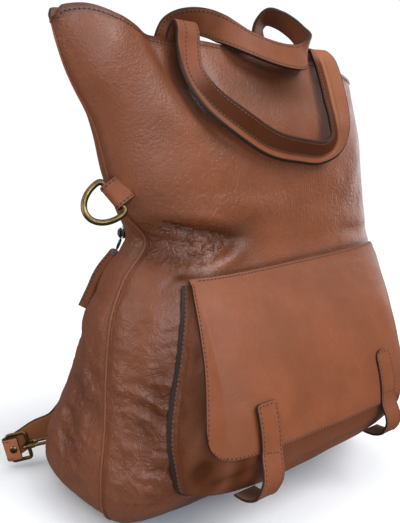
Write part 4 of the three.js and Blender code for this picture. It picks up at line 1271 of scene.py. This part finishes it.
def make_handle(name, rows, lip=False):
    path = even_route(route(rows, LONG_ROUTE), HANDLE_STEP)
    share = np.linspace(0, 1, len(path[0]))
    thick = STRAP_THICK * 1.1
    ring, _ = strap_section(HANDLE_WIDE, thick, HANDLE_FACETS)
    shade = np.zeros((len(share), len(ring)))
    worn = shade
    shape = None
    if lip:
        right_arm = smooth(0.6, 0.72, share)
        before_foot = smooth(0.9, 0.84, share)
        start = LIP_START + (LIP_START_RIGHT - LIP_START) * right_arm
        shape = lip_shape(start, LIP_BEND * smooth(0.15, 0.22, share) * before_foot * (1 - 0.5 * right_arm))
        # Painted shade in the hollow of the curled band
        hollow = smooth(-0.5, 1.5, ring[None, :, 0] - start[:, None]) * smooth(0.2, 0.28, share)[:, None]
        shade = HOLLOW_PAINTED_SHADE * hollow * before_foot[:, None] * (ring[None, :, 1] > 0)
        # Painted light on the right arm, outside the painted shade
        worn = ARM_PAINTED_LIGHT * smooth(0.68, 0.8, share)[:, None] * (1 - shade)
    body = strap_body(path, HANDLE_WIDE, thick, None, shape, HANDLE_FACETS)
    values = {"shade": shade[:, ::-1].ravel(), "worn": worn[:, ::-1].ravel()}
    build(f"{name}_leather", *body, DOUBLE_SKIN, "strap_leather", "bag", [name], values)
    edge = HANDLE_WIDE / 2 - STITCH_INSET
    lift = STRAP_THICK * 0.56
    lines = [strap_line(path, edge, s * lift, 4, -4) for s in (-1, 1)]
    if lip:
        lines.append(strap_line(path, LIP_START + 1.5, lift, 4, -4))
    else:
        lines += [strap_line(path, -edge, s * lift, 4, -4) for s in (-1, 1)]
    sew(f"{name}_sewing", lines)


def sewn_inside(face, side, x, z):
    """Middle of a handle's foot inside a panel, clear of it across the strap."""
    covered = (np.abs(face[..., 0] - x) < HANDLE_WIDE / 2 + 2) & (np.abs(face[..., 2] - z) < 5)
    y = face[..., 1][covered]
    inner = y.max() if side < 0 else y.min()
    return inner - side * (WALL + SEAT + STRAP_THICK * 0.6)


def make_handles(front_face, back_face):
    front = []
    for row in FRONT_HANDLE:
        x, z, off = row["x"], row["z"], row["off"]
        y = sewn_inside(front_face, -1, x, z) if off is None else folded_front(x, min(z, RIM)) - off
        front.append({**row, "y": y})
    back = []
    for row in BACK_HANDLE:
        y = sewn_inside(back_face, 1, row["x"], row["z"]) if row["y"] is None else row["y"]
        back.append({**row, "y": y})
    make_handle("front_handle", front, lip=True)
    make_handle("back_handle", back)


# Rings, tabs, eyes and hooks

FOLD_RADIUS = EYE_WIRE + 0.5 + STRAP_THICK / 2
RIVET_ALONG = 6.0
TAB_REACH = 13.0
BARREL_IN = 9.0
CORNER_STEPS = 8
FRAME_STEPS = 96
SHOULDER_STEP = 2.2

# Turned profiles as radius and height: the rivet's dome and the upper half of the hook's barrel
RIVET_DOME = [(0.2, 0.4), (4.0, 0.45), (4.0, 0.8), (3.4, 1.3), (2.2, 1.75), (1.0, 1.95), (0.2, 2.0)]
HALF_BARREL = [(2.6, 2.0), (2.2, 2.6), (2.6, 3.2), (2.3, 4.0), (1.0, 4.2)]


def bezier(corners, count):
    """Points along a Bezier curve, without its end."""
    t = np.linspace(0, 1, count, endpoint=False)[:, None]
    points = [np.asarray(c, float) * np.ones_like(t) for c in corners]
    while len(points) > 1:
        points = [a * (1 - t) + b * t for a, b in zip(points, points[1:])]
    return points[0]


def ring_outline():
    half, deep = RING_HALF, RING_DEEP
    sides = [
        bezier([(4 - half, 0), (half - 4, 0)], 16),
        bezier([(half - 4, 0), (half, 0), (half, 5)], 10),
        bezier([(half, 5), (half, 17), (10, deep), (0, deep)], 24),
        bezier([(0, deep), (-10, deep), (-half, 17), (-half, 5)], 24),
        bezier([(-half, 5), (-half, 0), (4 - half, 0)], 10),
    ]
    return np.concatenate(sides)


def rounded_frame(wide, tall, corner):
    points = []
    for k, (sx, sy) in enumerate(((1, -1), (1, 1), (-1, 1), (-1, -1))):
        turn = np.linspace(-math.pi / 2, 0, CORNER_STEPS) + k * math.pi / 2
        middle = np.array([sx * (wide / 2 - corner), sy * (tall / 2 - corner)])
        points.append(middle + corner * np.stack([np.cos(turn), np.sin(turn)], 1))
    outline = np.concatenate(points)
    closed = np.concatenate([outline, outline[:1]])
    return even_steps(closed, FRAME_STEPS + 1)[:-1]


def axes(x, y):
    x = unit(x)
    y = unit(np.asarray(y, float) - np.dot(y, x) * x)
    return x, y, np.cross(x, y)


def in_frame(flat, at, x, y):
    return np.asarray(at, float) + flat[:, :1] * x + flat[:, 1:2] * y


def loop_tab(at, x, y, face, radius):
    """Route of a leather loop round a bar: a leg, the bend and the other leg."""
    turn = np.linspace(-math.pi / 2, math.pi / 2, 25)
    legs = np.linspace(-TAB_REACH, 0, 14, endpoint=False)
    flat = [(run, -radius) for run in legs]
    flat += [(radius * math.cos(a), radius * math.sin(a)) for a in turn]
    flat += [(run, radius) for run in legs[::-1]]
    middle = np.array([np.asarray(at, float) + y * a + face * b for a, b in flat])
    return even_route(frames(middle, np.repeat(np.asarray(x)[None], len(middle), 0)), 0.8)


def make_side_rings():
    thick = WALL * 0.9
    for ring in SIDE_RINGS:
        name = ring["name"]
        x, y, face = axes(ring["bar"], ring["out"])
        body = plain(*wire(in_frame(ring_outline(), ring["at"], x, y), RING_WIRE, True, 16, face))
        build(f"ring_{name}_brass", *body, [BRASS], "brass", f"ring_{name}", [f"side_ring_{name}"])
        path = loop_tab(ring["at"], x, y, face, RING_WIRE + BAR_PLAY + thick / 2)
        tab = strap_body(path, TAB_WIDE, thick)
        build(f"ring_tab_{name}_leather", *tab, STRAP_SKIN, "strap_leather", "bag", [f"ring_tab_{name}"])
        lines = [strap_line(path, s * (TAB_WIDE / 2 - 2.4), thick * 0.55, 2, -2) for s in (-1, 1)]
        sew(f"ring_tab_{name}_sewing", lines)


def mirrored(v, side):
    return np.asarray(v, float) * np.array([side, 1, 1])


def shoulder_rows(side, run, face, up):
    fold = FOLD_RADIUS
    rows = []
    for row in SHOULDER:
        y = float(body_y(1, np.array(float(side * row["x"])), np.array(float(row["z"])))) + row["off"]
        rows.append({**row, "y": y, "wy": 0})
    turns = [(17, -fold - 10), (7, -fold - 2.5), (0, -fold), (-fold * 0.75, -fold * 0.7), (-fold, 0)]
    turns += [(-fold * 0.75, fold * 0.7), (0, fold), (12, fold)]
    for along, turn in turns:
        p = EYE_BAR + run * along + face * turn
        rise = max(0, along) * STRAP_RISE if turn < 0 else 0
        rows.append({"x": p[0], "y": p[1], "z": p[2] + rise, "wx": up[0], "wy": up[1], "wz": up[2]})
    return [{**row, "x": side * row["x"], "wy": side * row["wy"], "wz": side * row["wz"]} for row in rows]


def make_shoulder_straps():
    run = unit(EYE_RUN)
    face = unit([run[1], -run[0], 0.0])
    up = np.cross(face, run)
    edge = SHOULDER_WIDE / 2 - STITCH_INSET
    for name, side in (("left", 1), ("right", -1)):
        path = even_route(route(shoulder_rows(side, run, face, up), LONG_ROUTE), SHOULDER_STEP)
        strap = strap_body(path, SHOULDER_WIDE, STRAP_THICK)
        # Painted light: the whole strap is made lighter, though it lies in the bag's shadow
        worn = {"worn": np.ones(len(strap[0]))}
        node = f"shoulder_strap_{name}"
        build(f"shoulder_{name}_leather", *strap, DOUBLE_SKIN, "strap_leather", "bag", [node], worn)
        lines = [strap_line(path, s * edge, STRAP_THICK * 0.52, 3, -3) for s in (-1, 1)]
        sew(f"shoulder_{name}_sewing", lines)

        along, out, upward = (mirrored(v, side) for v in (run, face, up))
        eye_at = mirrored(EYE_BAR + run * EYE_WIDE / 2, side)
        outline = in_frame(rounded_frame(EYE_WIDE, EYE_TALL, 3), eye_at, along, upward)
        eye = plain(*wire(outline, EYE_WIRE, True, 14, np.cross(along, upward)))
        build(f"eye_{name}_brass", *eye, [BRASS], "brass", "bag", [f"strap_eye_{name}"])

        rivet_at = mirrored(EYE_BAR + run * RIVET_ALONG + face * (FOLD_RADIUS + STRAP_THICK / 2), side)
        rivet = plain(*lathe(RIVET_DOME, rivet_at, out))
        build(f"rivet_{name}_brass", *rivet, [BRASS], "brass", "bag", [f"strap_rivet_{name}"])
        make_hook(name, side, run, along, out)


def make_hook(name, side, run, along, out):
    """Snap hook between the eye and the base tab, a frame with two barrels, and the tab."""
    start = EYE_WIDE - EYE_WIRE - HOOK_WIRE - 0.6
    middle = mirrored(EYE_BAR + run * (start + HOOK_LONG / 2), side)
    outline = in_frame(rounded_frame(HOOK_LONG, HOOK_WIDE, 3.2), middle, along, out)
    parts = [plain(*wire(outline, HOOK_WIRE, True, 12, np.cross(along, out)))]
    barrel = [(radius, -height) for radius, height in reversed(HALF_BARREL)] + HALF_BARREL
    for across in (-HOOK_WIDE / 2, HOOK_WIDE / 2):
        at = middle + out * across - along * (HOOK_LONG / 2 - BARREL_IN)
        parts.append(plain(*lathe(barrel, at, along, 16)))
    build(f"hook_{name}_brass", *merge(parts), [BRASS], "brass", "bag", [f"snap_hook_{name}"])

    tab_at = mirrored(EYE_BAR + run * (start + HOOK_LONG), side)
    path = loop_tab(tab_at, *axes(out, -along), HOOK_WIRE + BAR_PLAY + WALL / 2)
    tab = strap_body(path, BASE_TAB_WIDE, WALL)
    build(f"base_tab_{name}_leather", *tab, STRAP_SKIN, "strap_leather", "bag", [f"base_tab_{name}"])


# Back zip

TOOTH_PITCH = 2.0
TOOTH_OUT = 0.9
SLIDER_HALF = 4.0
PLATE_THICK = 1.5
PULL_STEP = 1.0
TAPE_COLUMNS = 120
TAPE_ROWS = 9

# Right half of the slider's plate as shares of its half width and height, and the plate's levels
SHIELD = [(0.55, -1.0), (0.9, -0.6), (1.0, 0.1), (0.8, 0.75), (0.4, 1.0)]
PLATE = [(0.86, 0.0), (1.0, 0.3), (1.0, 1.2), (0.86, PLATE_THICK)]
EYELET = [(1.2, 0.9), (2.4, 0.95), (2.5, 1.25), (2.0, 1.6), (1.3, 1.5)]


def back_point(x, z, off):
    """Point off the back panel with the panel's run and outward directions."""
    x, z = np.asarray(x, float), np.asarray(z, float)
    here = np.stack([x, body_y(1, x, z), z], -1)
    run = unit(np.stack([x + 1, body_y(1, x + 1, z), z], -1) - here)
    rise = unit(np.stack([x, body_y(1, x, z + 1), z + 1], -1) - here)
    out = unit(np.cross(rise, run))
    depth = fold_depth(body_folds(1), here)
    return here + out * (off - depth)[..., None], run, out


def make_zip():
    heights = ZIP_AT + np.linspace(-0.5, 0.5, TAPE_ROWS) * TAPE_TALL
    at_x, at_z = np.meshgrid(np.linspace(-ZIP_HALF, ZIP_HALF, TAPE_COLUMNS), heights)
    raised = 0.5 * bump_at(at_z, ZIP_AT, 2.2)
    face, _, out = back_point(at_x, at_z, TAPE_OFF + TAPE_THICK + raised)
    points, faces, _ = closed_sheet(face, face - out * TAPE_THICK)
    build("zip_tape_woven", *plain(points, faces), [TAPE], "zip_tape", "bag", ["zip_tape"])
    lines = []
    for height, across in ((0, 1.6), (-1, -1.6)):
        line, normals = face[height], out[height]
        lines.append((inset(line, normals, across) + normals * THREAD_LIFT, normals))
    sew("zip_tape_sewing", lines)
    parts = []
    for shift, height in ((0.0, 1.0), (1.0, -1.0)):
        at = np.arange(-ZIP_HALF + 2 + shift, ZIP_HALF - 2, TOOTH_PITCH)
        off = np.full(len(at), TAPE_OFF + TAPE_THICK + TOOTH_OUT)
        middle, run, outward = back_point(at, np.full(len(at), ZIP_AT + height), off)
        parts.append(plain(*beads((middle, np.cross(run, outward), outward), 3.4, 0.62, 0.7)))
    build("zip_teeth", *merge(parts), [GUNMETAL], "dark_metal")


def make_slider():
    _, run, _ = back_point(np.array([SLIDER_AT]), np.array([ZIP_AT]), np.array([0.0]))
    run = unit([run[0, 0], run[0, 1], 0])
    out = np.array([-run[1], run[0], 0.0])
    up = np.array([0.0, 0.0, 1.0])
    low, high = (np.array(v) * 1000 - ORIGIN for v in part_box("zip_slider"))
    middle = (low + high) / 2
    left = [(-across, height) for across, height in reversed(SHIELD)]
    shield = np.array(left[-1:] + SHIELD + left) * np.array([SLIDER_HALF, SLIDER_TALL / 2])
    outline = even_steps(shield, 41)[:-1]
    flat = outline[:, :1] * run + outline[:, 1:] * up
    parts = []
    for base in (-SLIDER_DEEP / 2, SLIDER_DEEP / 2 - PLATE_THICK):
        sections = [middle + out * (base + level) + flat * share for share, level in PLATE]
        parts.append(plain(*sweep(np.array(sections))))
    neck = [(1.3, -SLIDER_DEEP / 2 + 1.0), (1.3, SLIDER_DEEP / 2 - 1.0)]
    parts.append(plain(*lathe(neck, middle + up * 1.5, out, 14)))
    turn = np.linspace(0, math.pi, 15)
    bridge = [middle + out * (SLIDER_DEEP / 2 + 1.8 * math.sin(a)) + up * 3.6 * math.cos(a) for a in turn]
    parts.append(plain(*wire(bridge, 0.8, False, 10, run)))
    build("zip_slider_metal", *merge(parts), [GUNMETAL], "dark_metal", "bag", ["zip_slider"])
    return middle, run, out, up


def make_pull(middle, run, out, up):
    reach = LINK_RADIUS + LINK_WIRE + 0.3
    link_at = middle + out * LINK_SWING - up * (SLIDER_TALL / 2 + reach)
    x, y, face = axes(run, up - 0.4 * out)
    turn = np.linspace(0, 2 * math.pi, 40, endpoint=False)
    circle = np.stack([np.cos(turn) * LINK_RADIUS * 0.72, np.sin(turn) * LINK_RADIUS * 1.1], 1)
    link = plain(*wire(in_frame(circle, link_at, x, y), LINK_WIRE, True, 10, face))
    build("zip_link_metal", *link, [GUNMETAL], "dark_metal", "bag", ["zip_link"])
    top = link_at + out * PULL_SWING - up * reach
    rows = [{**PULL[0], **dict(zip("xyz", top))}, *PULL]
    path = even_route(route(rows, PULL_ROUTE), PULL_STEP)
    width = rounded_end(path, PULL_WIDE, 4.2)
    strap = strap_body(path, PULL_WIDE, WALL * 1.1, width)
    build("zip_pull_leather", *strap, DOUBLE_SKIN, "strap_leather", "bag", ["zip_pull"])
    lines = [strap_line(path, s * 3.0, side * WALL * 0.6, 5, -3, width) for s in (-1, 1) for side in (-1, 1)]
    sew("zip_pull_sewing", lines)
    eyelet_at, eyelet_out = path[0][4], path[3][4]
    parts = [plain(*lathe(EYELET, eyelet_at, side * eyelet_out, 16)) for side in (-1, 1)]
    build("zip_pull_eyelet", *merge(parts), [GUNMETAL], "dark_metal")


# Studio

AMBIENT = 0.15
FLOOR_HALF = 40.0
FLOOR_AT = -0.0002
CARD_HALF = 0.7
CARD_AT = -0.0006
SUNS = rows_of(
    "name direction strength angle tint",
    ("key_light", (0.25, -0.68, 0.7), 2.55, 40, (0.97, 0.98, 1.0)),
    ("top_light", (-0.1, 0.1, 1.0), 1.45, 90, (0.98, 0.98, 1.0)),
)
SOFTBOXES = rows_of(
    "name at target size power tint",
    ("front_softbox", (-0.95, -1.75, 0.85), (0, 0, 0.3), (1.7, 0.7), 24, (0.72, 0.86, 1.0)),
    ("left_softbox", (-1.6, 0.4, 0.7), (0, 0, 0.2), (0.9, 1.1), 9, (1, 1, 1)),
    ("right_softbox", (1.6, 0.1, 0.55), (0, 0, 0.2), (0.8, 0.9), 7, (0.95, 0.97, 1.0)),
)


def make_plate(name, half, height, material, unseen):
    """Level square of the studio, hidden from some kinds of rays."""
    mesh = bpy.data.meshes.new(name)
    corners = [(-half, -half, 0), (half, -half, 0), (half, half, 0), (-half, half, 0)]
    mesh.from_pydata(corners, [], [(0, 1, 2, 3)])
    mesh.materials.append(material)
    plate = bpy.data.objects.new(name, mesh)
    bpy.context.scene.collection.objects.link(plate)
    plate.location.z = height
    for rays in unseen:
        setattr(plate, f"visible_{rays}", False)


def make_floor():
    look = Look("pale_floor")
    colour = look.mix(look.noise(3, 2), rgba((0.93, 0.93, 0.93)), rgba((0.95, 0.95, 0.95)))
    pale = look.finish(Base_Color=colour, Roughness=0.9)
    make_plate("floor", FLOOR_HALF, FLOOR_AT, pale, ("diffuse", "glossy", "shadow"))


def make_card():
    """Grey card just under the floor that returns a little light to the base."""
    grey = Look("grey_card").finish(Base_Color=rgba((0.78, 0.76, 0.74)), Roughness=0.9)
    make_plate("card", CARD_HALF, CARD_AT, grey, ("camera", "glossy"))


def add_light(name, at, target, size, power, tint):
    data = bpy.data.lights.new(name, "AREA")
    data.shape = "RECTANGLE"
    data.size, data.size_y = size
    data.energy = power
    data.color = tint
    light = bpy.data.objects.new(name, data)
    light.location = at
    light.rotation_euler = (Vector(target) - Vector(at)).to_track_quat("-Z", "Y").to_euler()
    bpy.context.scene.collection.objects.link(light)


def add_sun(name, direction, strength, angle, tint):
    """Wide soft light from a direction, even over the whole floor."""
    data = bpy.data.lights.new(name, "SUN")
    data.energy = strength
    data.angle = math.radians(angle)
    data.color = tint
    light = bpy.data.objects.new(name, data)
    light.rotation_euler = (-Vector(direction)).to_track_quat("-Z", "Y").to_euler()
    bpy.context.scene.collection.objects.link(light)


def make_world():
    """Soft grey light from all round; the camera sees plain white behind the bag."""
    world = bpy.data.worlds.new("studio")
    world.use_nodes = True
    tree = world.node_tree
    soft = tree.nodes["Background"]
    soft.inputs["Color"].default_value = (0.93, 0.96, 1.0, 1.0)
    soft.inputs["Strength"].default_value = AMBIENT
    white = tree.nodes.new("ShaderNodeBackground")
    white.inputs["Color"].default_value = (1.0, 1.0, 1.0, 1.0)
    rays = tree.nodes.new("ShaderNodeLightPath")
    both = tree.nodes.new("ShaderNodeMixShader")
    tree.links.new(rays.outputs["Is Camera Ray"], both.inputs[0])
    tree.links.new(soft.outputs[0], both.inputs[1])
    tree.links.new(white.outputs[0], both.inputs[2])
    tree.links.new(both.outputs[0], tree.nodes["World Output"].inputs["Surface"])
    bpy.context.scene.world = world


def make_lights():
    make_world()
    for sun in SUNS:
        add_sun(**sun)
    for softbox in SOFTBOXES:
        add_light(**softbox)


# Camera: fitted to the photograph's perspective, seen from the front left and a little above
CAMERA_AT = np.array([-499.222, -482.093, 334.0])
CAMERA_RIGHT = Vector((0.741288, -0.671187, 0.0))
CAMERA_UP = Vector((0.100955, 0.111499, 0.988623))
FOCAL_PIXELS = 700.0
IMAGE_TALL = 523.0
SENSOR = 36.0


def make_camera():
    data = bpy.data.cameras.new("camera")
    data.sensor_width = SENSOR
    data.lens = FOCAL_PIXELS / IMAGE_TALL * SENSOR
    camera = bpy.data.objects.new("camera", data)
    turn = Matrix((CAMERA_RIGHT, CAMERA_UP, CAMERA_RIGHT.cross(CAMERA_UP))).transposed()
    camera.rotation_euler = turn.to_euler()
    camera.location = place(CAMERA_AT)
    bpy.context.scene.collection.objects.link(camera)
    bpy.context.scene.camera = camera


def set_view():
    scene = bpy.context.scene
    scene.view_settings.view_transform = "Standard"
    scene.view_settings.look = "None"


make_camera()
front_face, back_face = make_body()
make_pocket()
make_flap()
make_closures()
make_handles(front_face, back_face)
make_side_rings()
make_shoulder_straps()
make_zip()
make_pull(*make_slider())
make_floor()
make_card()
make_lights()
set_view()
